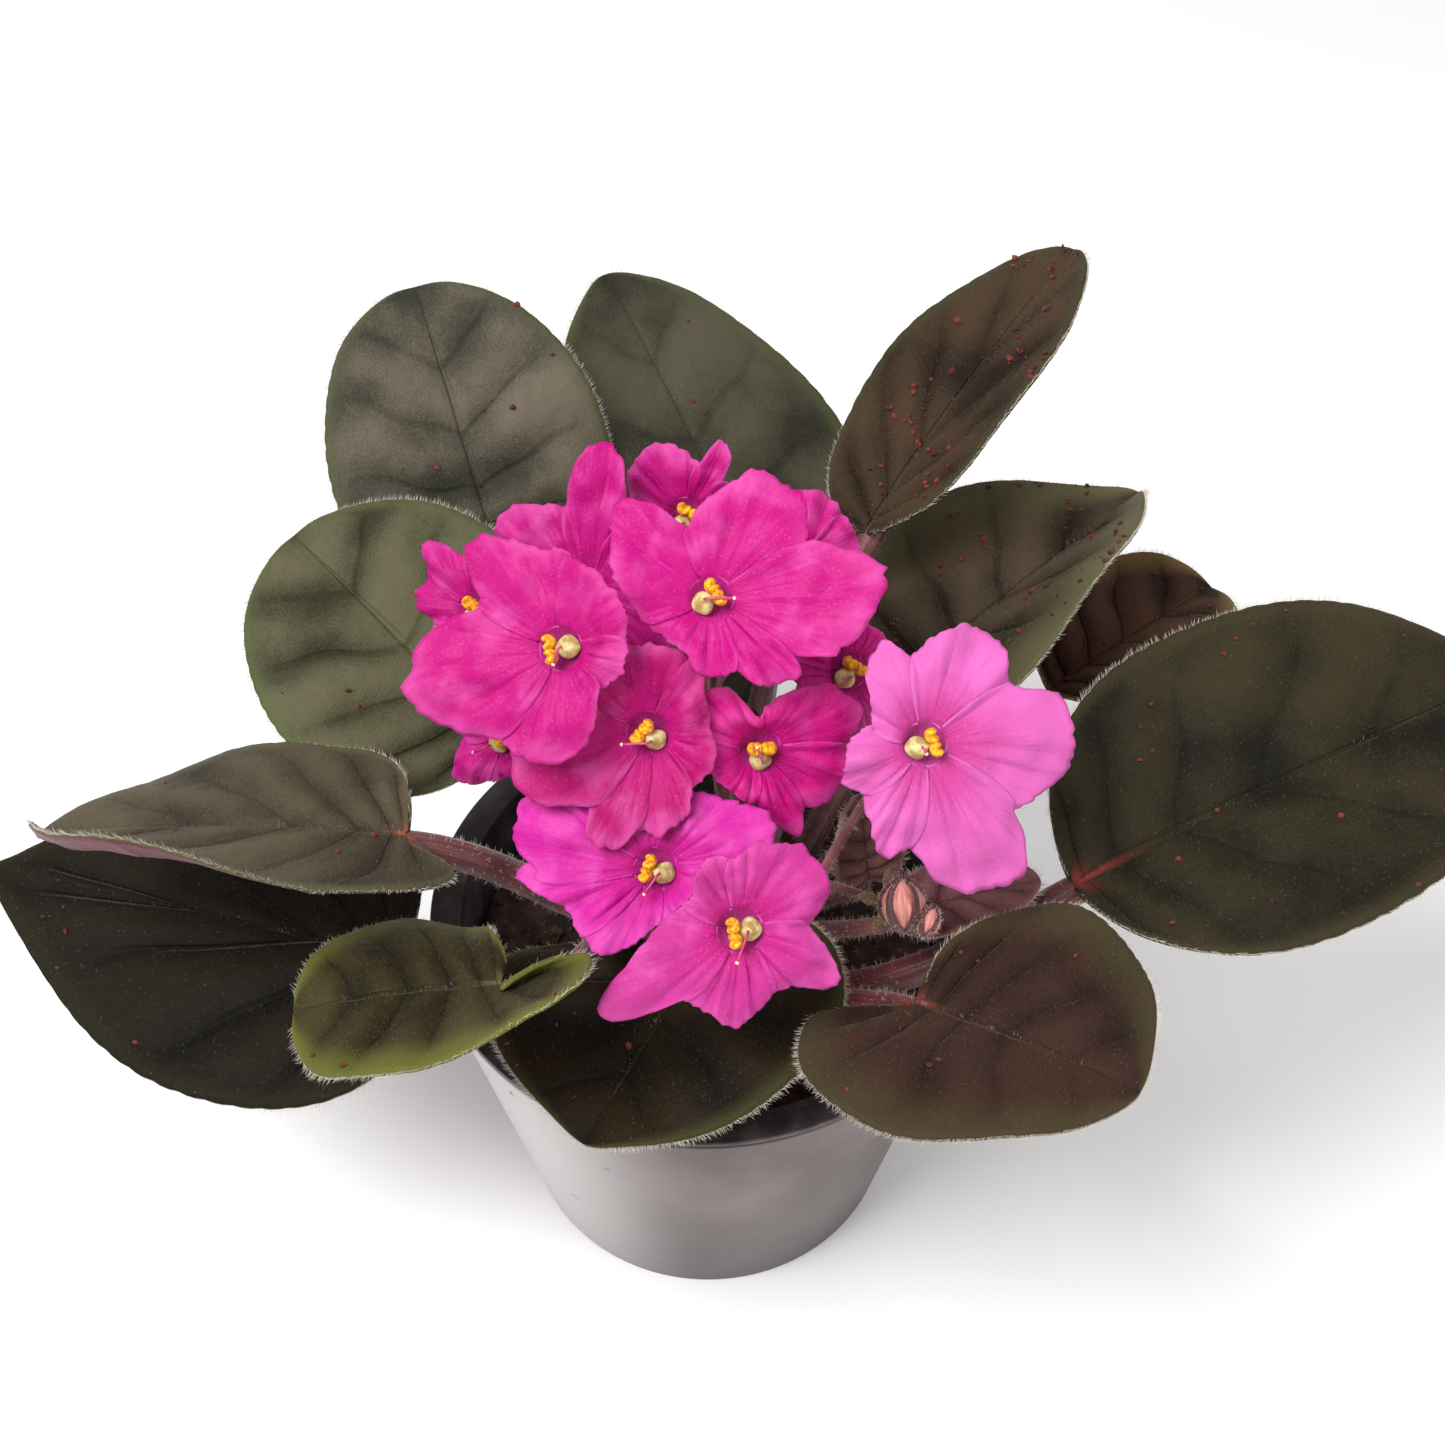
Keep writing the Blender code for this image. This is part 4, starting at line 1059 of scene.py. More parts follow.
def petal_point(bloom, index, s, t):
    """A point of one petal: s runs from the throat's floor to the edge, t across it and its overlaps."""
    start, end = petal_span(bloom, index)
    reaches = bloom.petals[index][1]
    across, upward, facing = flower_frame(bloom.heading, bloom.rise)
    degrees = (end - start + 2 * OVERLAP) * (t + 1) / 2 - OVERLAP
    part = min(1, max(0, degrees / (end - start)))
    past = max(-degrees, degrees - (end - start), 0) / OVERLAP
    heading = math.radians(start + degrees)
    own = polar(4.5, heading, bloom.place[0] + index)
    crinkle = 0.05 * noise.noise(own) + 0.04 * noise.noise(own * 3.1) + 0.02 * noise.noise(own * 6.7)
    longest = max(petal_reach(reaches, part) * (1 + crinkle), SHORTEST_PETAL) - THROAT_RADIUS
    longest = max(longest * math.cos(math.pi / 2 * past) ** 0.7, 0.1)
    if s < THROAT_SHARE:
        share = 0
        radius = THROAT_RADIUS * (0.1 + 0.9 * s / THROAT_SHARE)
        height = -THROAT_DEPTH * (1 - (radius / THROAT_RADIUS) ** 2)
    else:
        share = (s - THROAT_SHARE) / (1 - THROAT_SHARE)
        radius = THROAT_RADIUS + longest * share
        height = petal_height(bloom, start + degrees, radius) - 0.35 * share**6
    height += (2 * part - 1) * (0.11 + 0.12 * min(1, share * 3) + 0.12 * past * share)
    return (Vector(bloom.place) + around(heading, across, upward) * radius + facing * height) * MM


def petal_finish(name, colour, warm, deep, pale):
    """Petals: deep in the throat, streaked along, pale at the edge, with patches of painted highlight and
    painted glints for the fine glittering cells.
    """
    soft_light = {"Subsurface Weight": 0.12, "Subsurface Scale": 0.002}
    finish = Finish(name, 0.5, {**soft_light, "Specular IOR Level": 0.15})
    along, across = finish.grid()
    throat = 1 - along.ease(0.12, 0.5)
    streaks = finish.cloud(1.0, 2, finish.flat(along * 2.2, across * 18))
    soft = finish.cloud(90, 2)
    share = throat * 0.15 + (streaks - 0.5) * 1.1 + (soft - 0.5) * 1.3
    mixed = finish.blend((1 - along.ease(0.15, 0.75)) * 0.7, colour, warm)
    mixed = finish.blend(share.ease(0.0, 0.9), mixed, deep)
    # Paler throat floor: partly the petal's own paler heart, partly painted light against the shade in the
    # funnel
    mixed = finish.blend((1 - along.ease(0.1, 0.24)) * 0.4, mixed, pale)
    # Painted highlights: pale patches on the petals' outer parts
    painted_highlights = finish.cloud(150, 3).ease(0.45, 0.68) * along.ease(0.3, 0.6)
    mixed = finish.blend(painted_highlights * 0.55, mixed, pale)
    mixed = finish.blend(along.ease(0.8, 1.0) * soft.ease(0.35, 0.6) * 0.6, mixed, pale)
    # Painted glints of the glittering cells
    painted_glints = finish.cloud(2800, 1).ease(0.64, 0.72)
    finish.colour(finish.blend(painted_glints * 0.5, mixed, pale))
    finish.relief(streaks * 0.8 + finish.cloud(1600, 2) * 0.35, 0.0003)
    return finish.material


def throat_point(bloom, s, t):
    """A point of the small cup that closes the flower's middle under the petals."""
    across, upward, facing = flower_frame(bloom.heading, bloom.rise)
    flat = around(math.pi * t, across, upward)
    height = -THROAT_DEPTH * (1 - s**2) - 0.12
    return (Vector(bloom.place) + flat * THROAT_RADIUS * s + facing * height) * MM


def model_bloom(bloom, settings):
    """The petals of one flower, with the cup that they spring from."""
    colour = Vector(PETAL_COLOURS.get(bloom.name, settings.petal))
    deep = colour.lerp(Vector(settings.throat), 0.6)
    pale = colour.lerp(Vector(settings.petal_edge), 0.45)
    front = petal_finish("petals of " + bloom.name, colour, tuple(settings.petal), deep, pale)
    dull = tone(180, 54, 134)
    back = petal_finish("petal backs of " + bloom.name, dull, dull, tone(150, 20, 96), tone(196, 96, 160))
    sheets = [shaped_grid("throat", 4, 24, lambda s, t: throat_point(bloom, s, t))]
    for index in range(len(bloom.petals)):
        sheets.append(shaped_grid("petal", *PETAL_GRID, lambda s, t: petal_point(bloom, index, s, t)))
    for piece in sheets:
        paint(piece, front, back)
    petals = join(bloom.name + "_petals", sheets)
    thicken(petals, settings.petal_thickness, other_side=1)
    hand_over(petals, bloom.name)


def ovary_shape(point):
    """A blunt cone with shallow ridges, drawn out towards the anthers."""
    turn = math.atan2(point.y, point.x)
    width = (1 + 0.07 * math.cos(4 * turn + 0.6)) * (1 - 0.18 * point.z)
    return (point.x * width * 1.12 + 0.3 * point.z, point.y * width * (1 - 0.2 * point.x), point.z)


def anther_shape(point):
    """A fat bean with a cleft down its front."""
    cleft = 1 - 0.34 * math.exp(-((point.y / 0.35) ** 2)) * max(0.0, 0.4 + point.x + point.z)
    return (point.x * 0.85 * cleft, point.y * 0.95, point.z * 1.12 * cleft)


def model_hearts(settings):
    """The anthers, ovary and style of each flower."""
    pollen = Finish("pollen", 0.75)
    grain = pollen.cloud(1800, 2)
    pollen.colour(pollen.blend(grain.ease(0.35, 0.65), tone(206, 112, 6), tuple(settings.pollen)))
    pollen.relief(grain, 0.0001)
    ovary = Finish("ovary", 0.6, {"Specular IOR Level": 0.2})
    ovary.colour(ovary.blend(ovary.cloud(650, 3).ease(0.35, 0.65), tone(166, 138, 80), tone(220, 206, 150)))
    ovary.relief(ovary.cloud(2600), 0.0001)
    thread = Finish("filaments and style", 0.4, {"Subsurface Weight": 0.1, "Subsurface Scale": 0.001})
    thread.colour(thread.blend(thread.cloud(700).ease(0.3, 0.7), tone(160, 24, 84), tone(200, 74, 116)))
    stigma = Finish("stigma", 0.5)
    stigma.colour(stigma.blend(stigma.cloud(3000).ease(0.3, 0.7), tone(236, 190, 160), tone(250, 226, 200)))
    for bloom in BLOOMS:
        across, upward, facing = flower_frame(bloom.heading, bloom.rise)
        toward = around(math.radians(bloom.heart), across, upward)
        style_heading, style_reach = STYLES.get(bloom.name, (bloom.heart + 150, 3.6))
        bent = polar(1, math.radians(style_heading - bloom.heart), 0) * style_reach
        pieces = [ball("ovary", 1.5, (-1.0, 0, 1.1), ovary_shape, 32, 14)]
        paint(pieces[0], ovary.material)
        for side in (-1, 1):
            anther = ball("anther", 1.25, (1.0, side * 1.0, 2.3), anther_shape, 20, 14)
            paint(anther, pollen.material)
            start = Vector((0.1, side * 0.5, -0.6)) * MM
            end = Vector((0.7, side * 0.9, 1.7)) * MM
            points = curve_points(start, start + Vector((0, 0, 0.001)), end - Vector((0, 0, 0.0008)), end, 6)
            filament = tube("filament", points, [0.00035] * 6, 8)
            paint(filament, thread.material)
            pieces += [anther, filament]
        start = Vector((-0.9, 0, 2.8)) * MM
        end = start + (bent + Vector((0, 0, 0.6))) * MM
        points = curve_points(start, start + Vector((0, 0, 0.0012)), end - bent * 0.4 * MM, end, 10)
        style = tube("style", points, [0.0002] * 10, 8)
        paint(style, thread.material)
        tip = ball("stigma", 0.28, end / MM, lambda point: (point.x, point.y, point.z * 0.8), 10, 6)
        paint(tip, stigma.material)
        node = bloom.name.replace("bloom", "stamens")
        heart = join(node + "_heart", pieces + [style, tip])
        low = CAD_PETAL_THICKNESS / 2 + GAP - THROAT_DEPTH + 1.15
        basis = Matrix((toward, facing.cross(toward), facing)).transposed().to_4x4()
        heart.data.transform(Matrix.Translation((Vector(bloom.place) + facing * low) * MM) @ basis)
        hand_over(heart, node)


def pedicel_end(name):
    """Where a pedicel's calyx ends behind its flower or bud, and the flower's axes."""
    if name == "bud":
        axes = flower_frame(BUD_HEADING, BUD_RISE)
        return Vector(BUD_PLACE) - axes[2] * (BUD_LENGTH / 2 + GAP), axes
    bloom = next(found for found in BLOOMS if found.name == name)
    axes = flower_frame(bloom.heading, bloom.rise)
    return Vector(bloom.place) - axes[2] * (THROAT_DEPTH + CAD_PETAL_THICKNESS / 2 + GAP), axes


def sepal(base, outward, facing):
    """One narrow pointed sepal that leaves the calyx and hugs the flower's back."""
    side = facing.cross(outward)
    length, width = SEPAL_SIZE

    def place(s, t):
        half = width / 2 * math.sin(math.pi * min(1, s * 0.86 + 0.14)) ** 0.8 * t
        out = CALYX_RADIUS * 0.75 + SEPAL_SPREAD * s
        up = length * s * (1 - 0.4 * s * SEPAL_SPREAD / length)
        cupped = 0.35 * t * t
        return (base + outward * (out + cupped) + facing * up + side * half) * MM

    return shaped_grid("sepal", 8, 4, place)


def model_truss(truss, settings):
    """One flower stalk with its pedicels, calyces and hairs."""
    chance = random.Random(truss.name)
    red = stalk_finish("skin of " + truss.name, tuple(settings.stalk), tone(150, 84, 92))
    green = leaf_back_finish("sepals of " + truss.name, tone(86, 44, 48), tone(112, 92, 62))
    centre = Vector((CROWN_PLACE[0], CROWN_PLACE[1], CROWN_TOP + 0.9))
    foot = centre + direction(truss.foot, 0) * TRUSS_RING
    fork = Vector(truss.fork)
    span = (fork - foot).length
    leave = foot + direction(truss.foot, 70) * span * 0.35
    points = curve_points(foot, leave, fork - Vector((0, 0, 1)) * span * 0.3, fork, 14)
    points.append(fork + Vector((0, 0, PEDUNCLE_RADIUS)))
    radii = [PEDUNCLE_RADIUS * MM] * 14 + [PEDUNCLE_RADIUS * 0.7 * MM]
    pieces = [tube("peduncle", [point * MM for point in points], radii, 12)]
    sepals = []
    for target in truss.blooms:
        end, (across, upward, facing) = pedicel_end(target)
        base = end - facing * CALYX_DEPTH
        span = (base - fork).length
        leave = fork + Vector((0, 0, 1)) * span * 0.15
        points = curve_points(fork, leave, base - facing * span * 0.35, base, 12)
        points += [base + facing * CALYX_DEPTH * 0.4, end]
        radii = [PEDICEL_RADIUS] * 12 + [CALYX_RADIUS * 0.75, CALYX_RADIUS]
        radii = [radius * MM for radius in radii]
        pieces.append(tube("pedicel", [point * MM for point in points], radii, 10))
        for index in range(SEPALS):
            turn = 2 * math.pi * (index + 0.3) / SEPALS
            sepals.append(sepal(base, around(turn, across, upward), facing))
    for piece in pieces:
        paint(piece, red)
    hairs = []
    for piece in pieces:
        hairs += fuzz(scattered(piece, 150, chance), chance, 0.0009, settings.hair_thickness, 0.3)
    for piece in sepals:
        hairs += fuzz(scattered(piece, 26, chance), chance, 0.0008, settings.hair_thickness, 0.5)
        paint(piece, green)
        thicken(piece, SEPAL_THICKNESS * MM)
    hand_over(join(truss.name + "_fork", pieces + sepals), truss.name)
    hand_over_hairs(truss.name, hairs)


def bud_shape(point):
    """Five folded petals that wind round a blunt tip."""
    height = point.z / BUD_RADIUS
    turn = math.atan2(point.y, point.x)
    ridge = 1 + 0.05 * math.cos(5 * turn + 3 * height) * (1 - height * height)
    taper = 1 - 0.25 * max(0.0, height) ** 2
    return (point.x * ridge * taper, point.y * ridge * taper, point.z * BUD_LENGTH / 2 / BUD_RADIUS)


def clasping_sepal(turn, s, t):
    """A point of a narrow sepal that follows the bud's side and closes over its tip."""
    height = BUD_LENGTH * (1.16 * s - 0.5)
    out = BUD_RADIUS * math.sqrt(max(0.0, 1 - (2 * height / BUD_LENGTH) ** 2)) * (1 - 0.12 * s)
    out = max(out, 0.5) + 0.25 + 0.3 * t * t
    half = 0.75 * (1 - s**1.5) + 0.12
    swing = turn + half * t / max(out, 1.2) + 0.25 * math.sin(3 * s + 2 * turn)
    return polar(out, swing, height) * MM


def model_bud():
    """The closed bud and a smaller one beside it, each held by its own sepals."""
    chance = random.Random("bud")
    skin = Finish("bud skin", 0.6, {"Specular IOR Level": 0.2})
    along, across = skin.grid()
    streaks = skin.cloud(1.0, 2, skin.flat(along * 2, across * 20))
    colour = skin.blend(streaks.ease(0.3, 0.7), tone(182, 96, 92), tone(220, 156, 146))
    skin.colour(skin.blend(along.ease(0.7, 1.0), colour, tone(214, 146, 146)))
    skin.relief(streaks, 0.0003)
    red = stalk_finish("sepals of bud", tone(52, 14, 18), tone(96, 36, 38))
    bodies = []
    hairs = []
    for place, size, heading, rise in ((BUD_PLACE, 1.0, 100, 62), (SMALL_BUD_PLACE, 0.55, 60, 40)):
        body = ball("body", BUD_RADIUS, (0, 0, 0), bud_shape, 32, 20)
        paint(body, skin.material)
        sepals = []
        for index in range(SEPALS):
            turn = 2 * math.pi * (index + 0.25) / SEPALS
            leaflet = shaped_grid("sepal", 14, 6, lambda s, t: clasping_sepal(turn, s, t))
            paint(leaflet, red)
            thicken(leaflet, BUD_SEPAL_THICKNESS * MM)
            sepals.append(leaflet)
        whole = join("bud", [body, *sepals])
        basis = Matrix(flower_frame(heading, rise)).transposed().to_4x4()
        whole.data.transform(Matrix.Translation(Vector(place) * MM) @ basis @ Matrix.Scale(size, 4))
        hairs += fuzz(scattered(whole, int(420 * size), chance), chance, 0.0009, 0.00008, 0.4)
        bodies.append(whole)
    hand_over(join("bud_petals", bodies), "bud")
    hand_over_hairs("bud", hairs, tone(190, 150, 140), tone(232, 214, 200))


def start_pot(name, low, high, base_radius, top_radius):
    """A tapered solid pot, left in edit mode with its top face selected."""
    settle()
    middle = (0, 0, (low + high) / 2 * MM)
    depth = (high - low) * MM
    bpy.ops.mesh.primitive_cylinder_add(vertices=128, radius=base_radius * MM, depth=depth, location=middle)
    pot = bpy.context.object
    pot.name = name
    bpy.ops.object.transform_apply(location=True, rotation=True, scale=True)
    bpy.ops.object.mode_set(mode="EDIT")
    bpy.ops.mesh.select_mode(type="FACE")
    bpy.ops.mesh.select_all(action="DESELECT")
    bpy.ops.object.mode_set(mode="OBJECT")
    for face in pot.data.polygons:
        face.select = face.center.z > (high - 0.01) * MM
    bpy.ops.object.mode_set(mode="EDIT")
    widen(top_radius / base_radius)
    return pot


def widen(factor):
    bpy.ops.transform.resize(value=(factor, factor, 1))


def extrude(height):
    bpy.ops.mesh.extrude_region_move(TRANSFORM_OT_translate={"value": (0, 0, height * MM)})


def soften(pot, width):
    """Rounds the pot's edges and shades it smooth between them."""
    bpy.ops.object.mode_set(mode="OBJECT")
    round_off = pot.modifiers.new("edges", "BEVEL")
    round_off.width = width
    round_off.segments = 3
    round_off.limit_method = "ANGLE"
    round_off.angle_limit = math.radians(35)
    bpy.ops.object.modifier_apply(modifier=round_off.name)
    bpy.ops.object.shade_smooth_by_angle(angle=math.radians(40))


def model_outer_pot(settings):
    """The plain tapered pot, with painted light that makes it pale at the left and painted shade that keeps
    the rest dark and darkens it towards its foot.
    """
    pot = start_pot("outer_pot_wall", 0, OUTER_HEIGHT, BASE_RADIUS, RIM_RADIUS)
    bpy.ops.mesh.inset(thickness=OUTER_WALL * MM)
    extrude(OUTER_FLOOR - OUTER_HEIGHT)
    widen((BASE_RADIUS - OUTER_WALL) / (RIM_RADIUS - OUTER_WALL))
    soften(pot, 0.0004)
    finish = Finish("smooth off-white plastic", 0.38, {"Specular IOR Level": 0.4})
    dust = finish.cloud(40, 4)
    colour = finish.blend(dust.ease(0.3, 0.8), tuple(settings.outer_pot), tone(128, 114, 112))
    # Painted shade: darker towards the foot
    colour = finish.blend((1 - finish.level("Z").ease(0.0, 0.07)) * 0.85, colour, tone(50, 38, 36))
    # Painted light: the pale colour on the left side, where the light falls
    colour = finish.blend(finish.level("X").ease(-0.034, 0.0), tone(196, 189, 189), colour)
    specks = finish.cloud(380, 1).ease(0.74, 0.77)
    finish.colour(finish.blend(specks * 0.7, colour, tone(92, 84, 80)))
    finish.relief(finish.cloud(900, 2), 0.00003)
    paint(pot, finish.material)
    hand_over(pot, "outer_pot")


def model_nursery_pot(settings):
    """The thin dark pot, which hangs by its lip on the outer one."""
    low = OUTER_FLOOR + GAP
    lip_low = OUTER_HEIGHT + GAP
    lip_high = lip_low + LIP_THICKNESS
    wall_top = RIM_RADIUS - LIP_WIDTH + NURSERY_WALL
    pot = start_pot("nursery_pot_wall", low, lip_low, NURSERY_BASE_RADIUS, wall_top)
    extrude(0)
    widen(RIM_RADIUS / wall_top)
    extrude(LIP_THICKNESS)
    bpy.ops.mesh.inset(thickness=LIP_WIDTH * MM)
    extrude(low + NURSERY_WALL - lip_high)
    widen((NURSERY_BASE_RADIUS - NURSERY_WALL) / (RIM_RADIUS - LIP_WIDTH))
    soften(pot, 0.0003)
    for index in range(DRAIN_HOLES):
        turn = 2 * math.pi * (index + 0.5) / DRAIN_HOLES
        place = polar(DRAIN_RING, turn, low) * MM
        settle()
        bpy.ops.mesh.primitive_cylinder_add(
            vertices=24, radius=DRAIN_RADIUS * MM, depth=0.004, location=place
        )
        drill = bpy.context.object
        activate(pot)
        hole = pot.modifiers.new("hole", "BOOLEAN")
        hole.operation = "DIFFERENCE"
        hole.object = drill
        bpy.ops.object.modifier_apply(modifier=hole.name)
        bpy.data.objects.remove(drill)
    finish = Finish("dusty black plastic", 0.5)
    dust = finish.cloud(120, 4)
    colour = finish.blend(dust.ease(0.4, 0.75), tuple(settings.nursery_pot), tone(96, 88, 88))
    finish.colour(finish.blend(finish.cloud(1500).ease(0.68, 0.72) * 0.6, colour, tone(120, 96, 84)))
    finish.relief(dust, 0.0002)
    paint(pot, finish.material)
    hand_over(pot, "nursery_pot")


def soil_point(s, t):
    """A point of the soil plug: s runs out over its top, down its side and in under it."""
    low = OUTER_FLOOR + NURSERY_WALL + 2 * GAP
    slope = (RIM_RADIUS - LIP_WIDTH - NURSERY_BASE_RADIUS) / (OUTER_HEIGHT - OUTER_FLOOR)
    base_radius = NURSERY_BASE_RADIUS - NURSERY_WALL - 0.6
    top_radius = base_radius + slope * (SOIL_TOP - low)
    if s < 0.8:
        radius = top_radius * s / 0.8
        rough = noise.noise(polar(radius * 0.35, math.pi * t, 1))
        fine = noise.noise(polar(radius * 1.2, math.pi * t, 4))
        height = SOIL_TOP + (rough * 1.1 + fine * 0.5) * min(1, (0.8 - s) * 12)
    elif s < 0.95:
        share = (s - 0.8) / 0.15
        radius = top_radius + (base_radius - top_radius) * share
        height = SOIL_TOP + (low - SOIL_TOP) * share
    else:
        radius = base_radius * (1 - s) / 0.05
        height = low
    return polar(radius, math.pi * t, height) * MM


def model_soil(settings):
    """The soil plug, with lumps on its rough top."""
    chance = random.Random("soil")
    plug = shaped_grid("plug", 60, 120, soil_point, closed=True)
    finish = Finish("crumbly soil", 0.95)
    damp = finish.cloud(260, 4)
    colour = finish.blend(damp.ease(0.35, 0.7), tuple(settings.soil), tone(74, 48, 38))
    finish.colour(finish.blend(finish.cloud(1400, 1).ease(0.68, 0.74), colour, tone(120, 84, 64)))
    finish.relief(damp + finish.cells(900) * 0.5, 0.0009)
    paint(plug, finish.material)
    low = (SOIL_TOP - 2) * MM
    places = scattered(plug, SOIL_LUMPS, chance, lambda face: face.center.z > low and face.normal.z > 0.5)
    brown = crumb_finish("soil lumps", tone(86, 54, 40), tone(26, 18, 14))
    lumps = crumb_pieces("lumps", places, LUMP_SIZES, brown, chance)
    hand_over(join("soil_plug", [plug, lumps]), "soil")


def model_crown(settings):
    """The short stem, ringed by the scars of old stalks."""
    chance = random.Random("crown")
    centre = Vector((CROWN_PLACE[0], CROWN_PLACE[1], 0))

    def place(s, t):
        if s < 0.8:
            height = CROWN_FOOT + (CROWN_TOP - CROWN_FOOT) * s / 0.8
            up = max(0.0, (height - TIER_HEIGHTS[0]) / (CROWN_TOP - TIER_HEIGHTS[0]))
            radius = CROWN_RADIUS - 0.4 - (CROWN_RADIUS - 5.4) * up
        else:
            share = (s - 0.8) / 0.2
            radius = 5.0 * math.cos(math.pi / 2 * share)
            height = CROWN_TOP + 0.3 * math.sin(math.pi / 2 * share)
        scar = 0.03 * (math.sin(height * 1.4) > 0.6)
        radius *= 1 + 0.04 * math.sin(5 * math.pi * t + height * 0.6) - scar
        return (centre + polar(radius, math.pi * t, height)) * MM

    crown = shaped_grid("crown_stem", 40, 40, place)
    paint(crown, stalk_finish("crown skin", tuple(settings.stalk), tone(112, 84, 58)))
    hairs = fuzz(scattered(crown, 500, chance), chance, 0.0012, settings.hair_thickness, 0.4)
    hand_over(crown, "crown")
    hand_over_hairs("crown", hairs)


def amount(name, about, default, **kept):
    return bpy.props.FloatProperty(name=name, description=about, default=default, min=0.0, **kept)


def metres(name, about, default):
    return amount(name, about, default, unit="LENGTH", precision=5)


def shade(name, about, default):
    return bpy.props.FloatVectorProperty(
        name=name, description=about, default=default, size=4, min=0.0, max=1.0, subtype="COLOR"
    )


class VioletLeafSettings(bpy.types.PropertyGroup):
    """Sizes and colours of the leaves and stalks."""

    blade_thickness: metres("Blade thickness", "Thickness of a leaf blade", 0.0008)
    hair_length: metres("Hair length", "Length of the hairs on margins and stalks", 0.0013)
    hair_thickness: metres("Hair thickness", "Thickness of a hair at its root", 0.00007)
    hair_cover: amount("Hair cover", "Hairs to a square millimetre of blade", 0.75)
    underside: shade("Underside", "Colour of a leaf's underside", tone(78, 22, 36))
    stalk: shade("Stalk", "Colour of the stalks", tone(74, 26, 30))


class VioletFlowerSettings(bpy.types.PropertyGroup):
    """Sizes and colours of the flowers."""

    petal_thickness: metres("Petal thickness", "Thickness of a petal", 0.0004)
    petal: shade("Petal", "Colour of most flowers' petals", tone(178, 12, 116))
    petal_edge: shade("Petal edge", "Colour that the petals turn towards at their edges", tone(226, 110, 190))
    throat: shade("Throat", "Colour that the petals turn towards in the throat", tone(120, 0, 58))
    pollen: shade("Pollen", "Colour of the anthers", tone(248, 190, 24))


class VioletPotSettings(bpy.types.PropertyGroup):
    """Colours of the pots and the soil."""

    # Darkened with painted shade; the pot itself is off-white
    outer_pot: shade("Outer pot", "Colour of the outer pot", tone(80, 65, 64))
    nursery_pot: shade("Nursery pot", "Colour of the pot inside it", tone(40, 38, 40))
    soil: shade("Soil", "Colour of damp soil", tone(34, 22, 18))


class VioletStageSettings(bpy.types.PropertyGroup):
    """Floor and lights."""

    floor: shade("Floor", "Colour of the floor", tone(250, 250, 250))
    sky: amount("Sky", "Strength of the even light", 0.62)
    key: amount("Key light", "Power of the main lamp", 8.0, unit="POWER")
    fill: amount("Fill light", "Power of the side lamp", 2.0, unit="POWER")


class VIOLET_OT_pots(bpy.types.Operator):
    """Model the outer pot and the nursery pot that hangs in it"""

    bl_idname = "violet.pots"
    bl_label = "Pots"

    def execute(self, context):
        model_outer_pot(context.scene.violet_pots)
        model_nursery_pot(context.scene.violet_pots)
        return {"FINISHED"}


class VIOLET_OT_soil(bpy.types.Operator):
    """Model the soil with its crumbs, and the crown that stands in it"""

    bl_idname = "violet.soil"
    bl_label = "Soil and crown"

    def execute(self, context):
        model_soil(context.scene.violet_pots)
        model_crown(context.scene.violet_leaves)
        return {"FINISHED"}


class VIOLET_OT_leaves(bpy.types.Operator):
    """Model every leaf with its stalk and hairs"""

    bl_idname = "violet.leaves"
    bl_label = "Leaves"

    def execute(self, context):
        for leaf in LEAVES:
            model_leaf(leaf, context.scene.violet_leaves)
        return {"FINISHED"}


class VIOLET_OT_blooms(bpy.types.Operator):
    """Model the petals of every flower, and its anthers, ovary and style"""

    bl_idname = "violet.blooms"
    bl_label = "Flowers"

    def execute(self, context):
        for bloom in BLOOMS:
            model_bloom(bloom, context.scene.violet_flowers)
        model_hearts(context.scene.violet_flowers)
        return {"FINISHED"}


class VIOLET_OT_flower_stalks(bpy.types.Operator):
    """Model the flower stalks with their calyces, and the closed bud"""

    bl_idname = "violet.flower_stalks"
    bl_label = "Flower stalks and bud"

    def execute(self, context):
        for truss in TRUSSES:
            model_truss(truss, context.scene.violet_leaves)
        model_bud()
        return {"FINISHED"}


def lamp(name, place, size, power):
    """A round area light that faces the middle of the plant."""
    bpy.ops.object.light_add(type="AREA", location=place)
    light = bpy.context.object
    light.name = name
    light.data.shape = "DISK"
    light.data.size = size
    light.data.energy = power
    light.rotation_euler = (Vector(place) - Vector(LAMP_AIM)).to_track_quat("Z", "Y").to_euler()


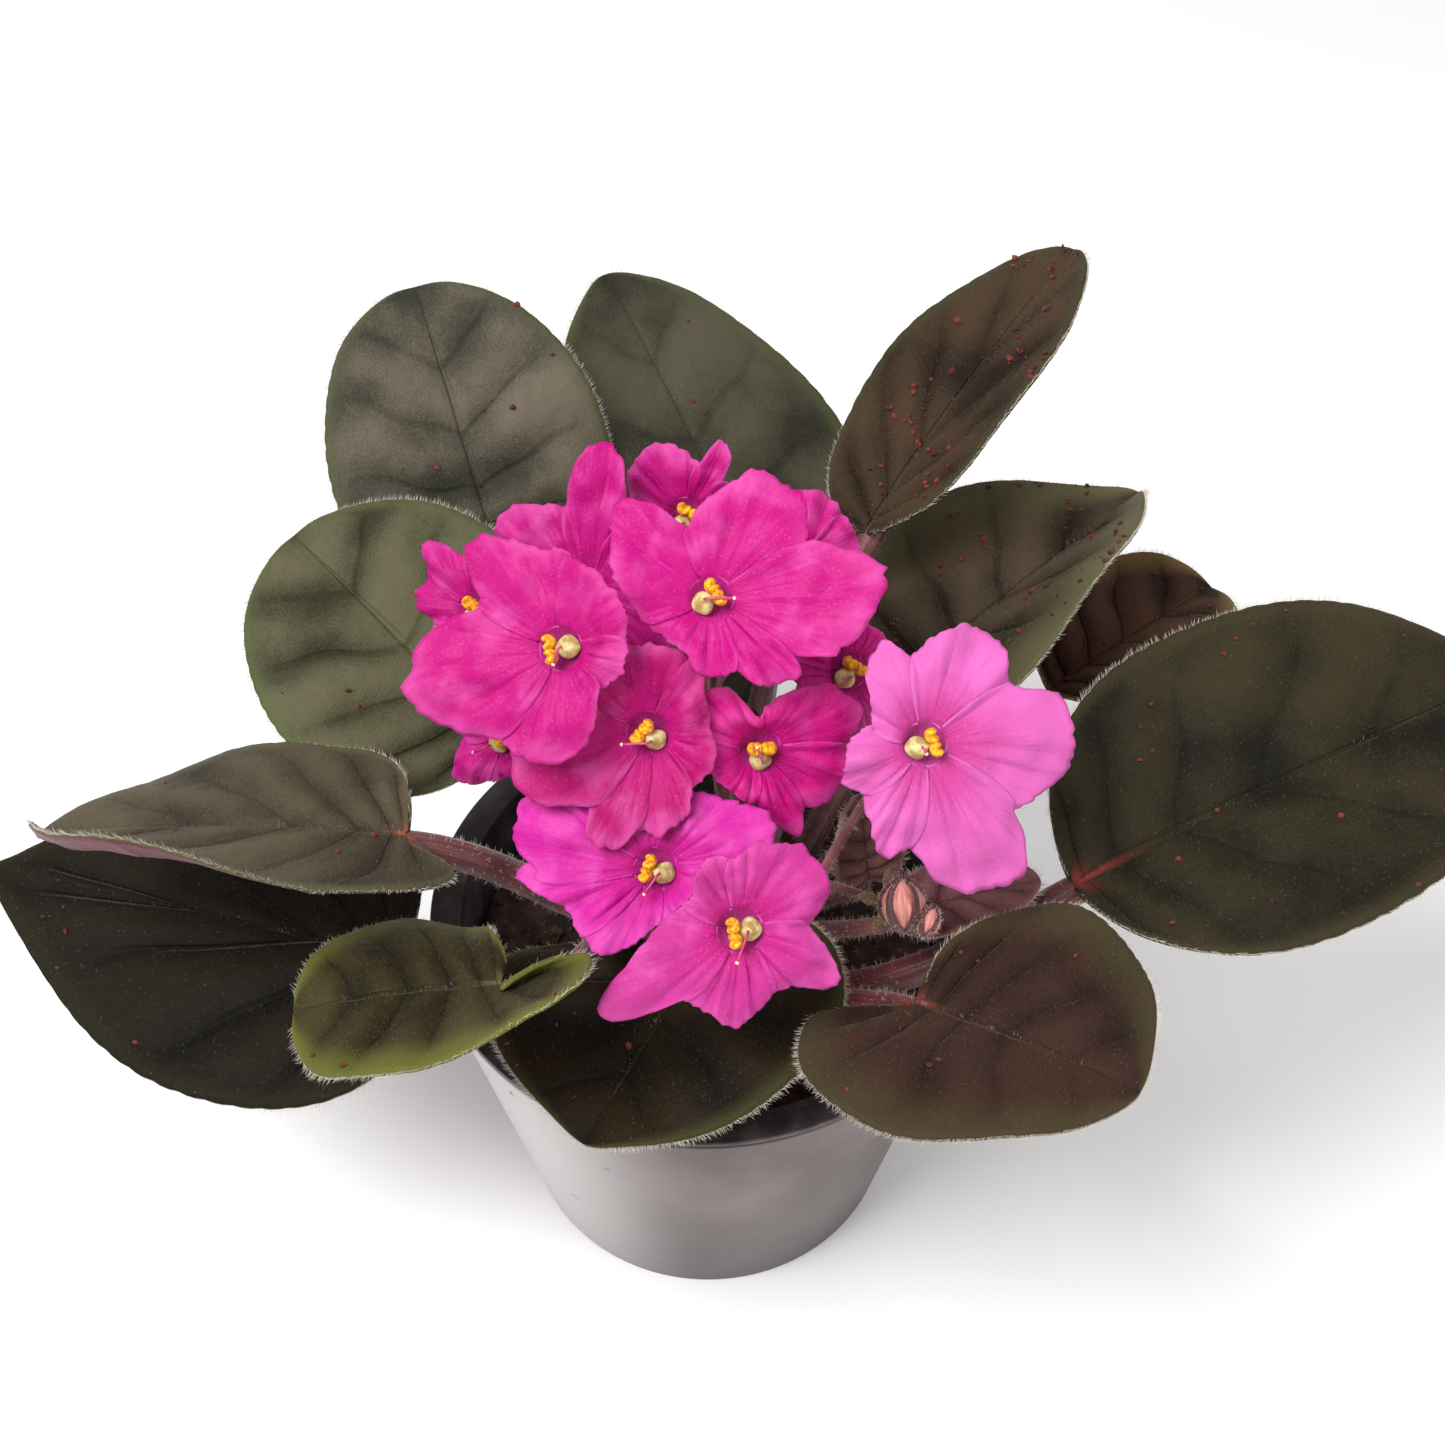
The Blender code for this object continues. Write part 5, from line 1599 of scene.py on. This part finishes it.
class VIOLET_OT_stage(bpy.types.Operator):
    """Set up the floor, the soft lights and the camera"""

    bl_idname = "violet.stage"
    bl_label = "Floor, lights and camera"

    def execute(self, context):
        settings = context.scene.violet_stage
        settle()
        bpy.ops.mesh.primitive_plane_add(size=6, location=(0, 0, 0))
        floor = context.object
        floor.name = "floor"
        finish = Finish("pale floor", 0.9)
        finish.colour(finish.blend(finish.cloud(3, 2), tuple(settings.floor), tone(246, 246, 246)))
        paint(floor, finish.material)
        sky = bpy.data.worlds.new("even light")
        context.scene.world = sky
        sky.use_nodes = True
        background = sky.node_tree.nodes["Background"]
        background.inputs["Color"].default_value = (1.0, 1.0, 1.0, 1)
        background.inputs["Strength"].default_value = settings.sky
        lamp("key light", (-0.35, -0.25, 0.8), 0.5, settings.key)
        lamp("fill light", (0.6, -0.5, 0.5), 0.6, settings.fill)
        bpy.ops.object.camera_add(location=CAMERA_PLACE, rotation=(math.radians(CAMERA_TILT), 0, 0))
        camera = context.object
        camera.data.lens = CAMERA_LENS
        camera.data.sensor_width = 36.0
        camera.data.clip_start = 0.01
        context.scene.camera = camera
        context.scene.view_settings.view_transform = "Standard"
        return {"FINISHED"}


class VIOLET_PT_panel(bpy.types.Panel):
    """Lists the pieces of the potted violet"""

    bl_idname = "VIOLET_PT_panel"
    bl_label = "Potted African Violet"
    bl_space_type = "VIEW_3D"
    bl_region_type = "UI"
    bl_category = "Violet"

    def draw(self, context):
        for group in SETTINGS:
            box = self.layout.box()
            settings = getattr(context.scene, group)
            for name in settings.__annotations__:
                box.prop(settings, name)
        for step in STEPS:
            self.layout.operator("violet." + step)


SETTINGS = {
    "violet_leaves": VioletLeafSettings,
    "violet_flowers": VioletFlowerSettings,
    "violet_pots": VioletPotSettings,
    "violet_stage": VioletStageSettings,
}
OPERATORS = (
    VIOLET_OT_pots,
    VIOLET_OT_soil,
    VIOLET_OT_leaves,
    VIOLET_OT_blooms,
    VIOLET_OT_flower_stalks,
    VIOLET_OT_stage,
)
STEPS = tuple(kind.bl_idname.split(".")[1] for kind in OPERATORS)


def register():
    for kind in (*SETTINGS.values(), *OPERATORS, VIOLET_PT_panel):
        bpy.utils.register_class(kind)
    for name, kind in SETTINGS.items():
        setattr(bpy.types.Scene, name, bpy.props.PointerProperty(type=kind))


def unregister():
    for name in SETTINGS:
        delattr(bpy.types.Scene, name)
    for kind in (VIOLET_PT_panel, *reversed(OPERATORS), *reversed(SETTINGS.values())):
        bpy.utils.unregister_class(kind)


def main():
    register()
    for step in STEPS:
        getattr(bpy.ops.violet, step)()


if __name__ == "__main__":
    main()
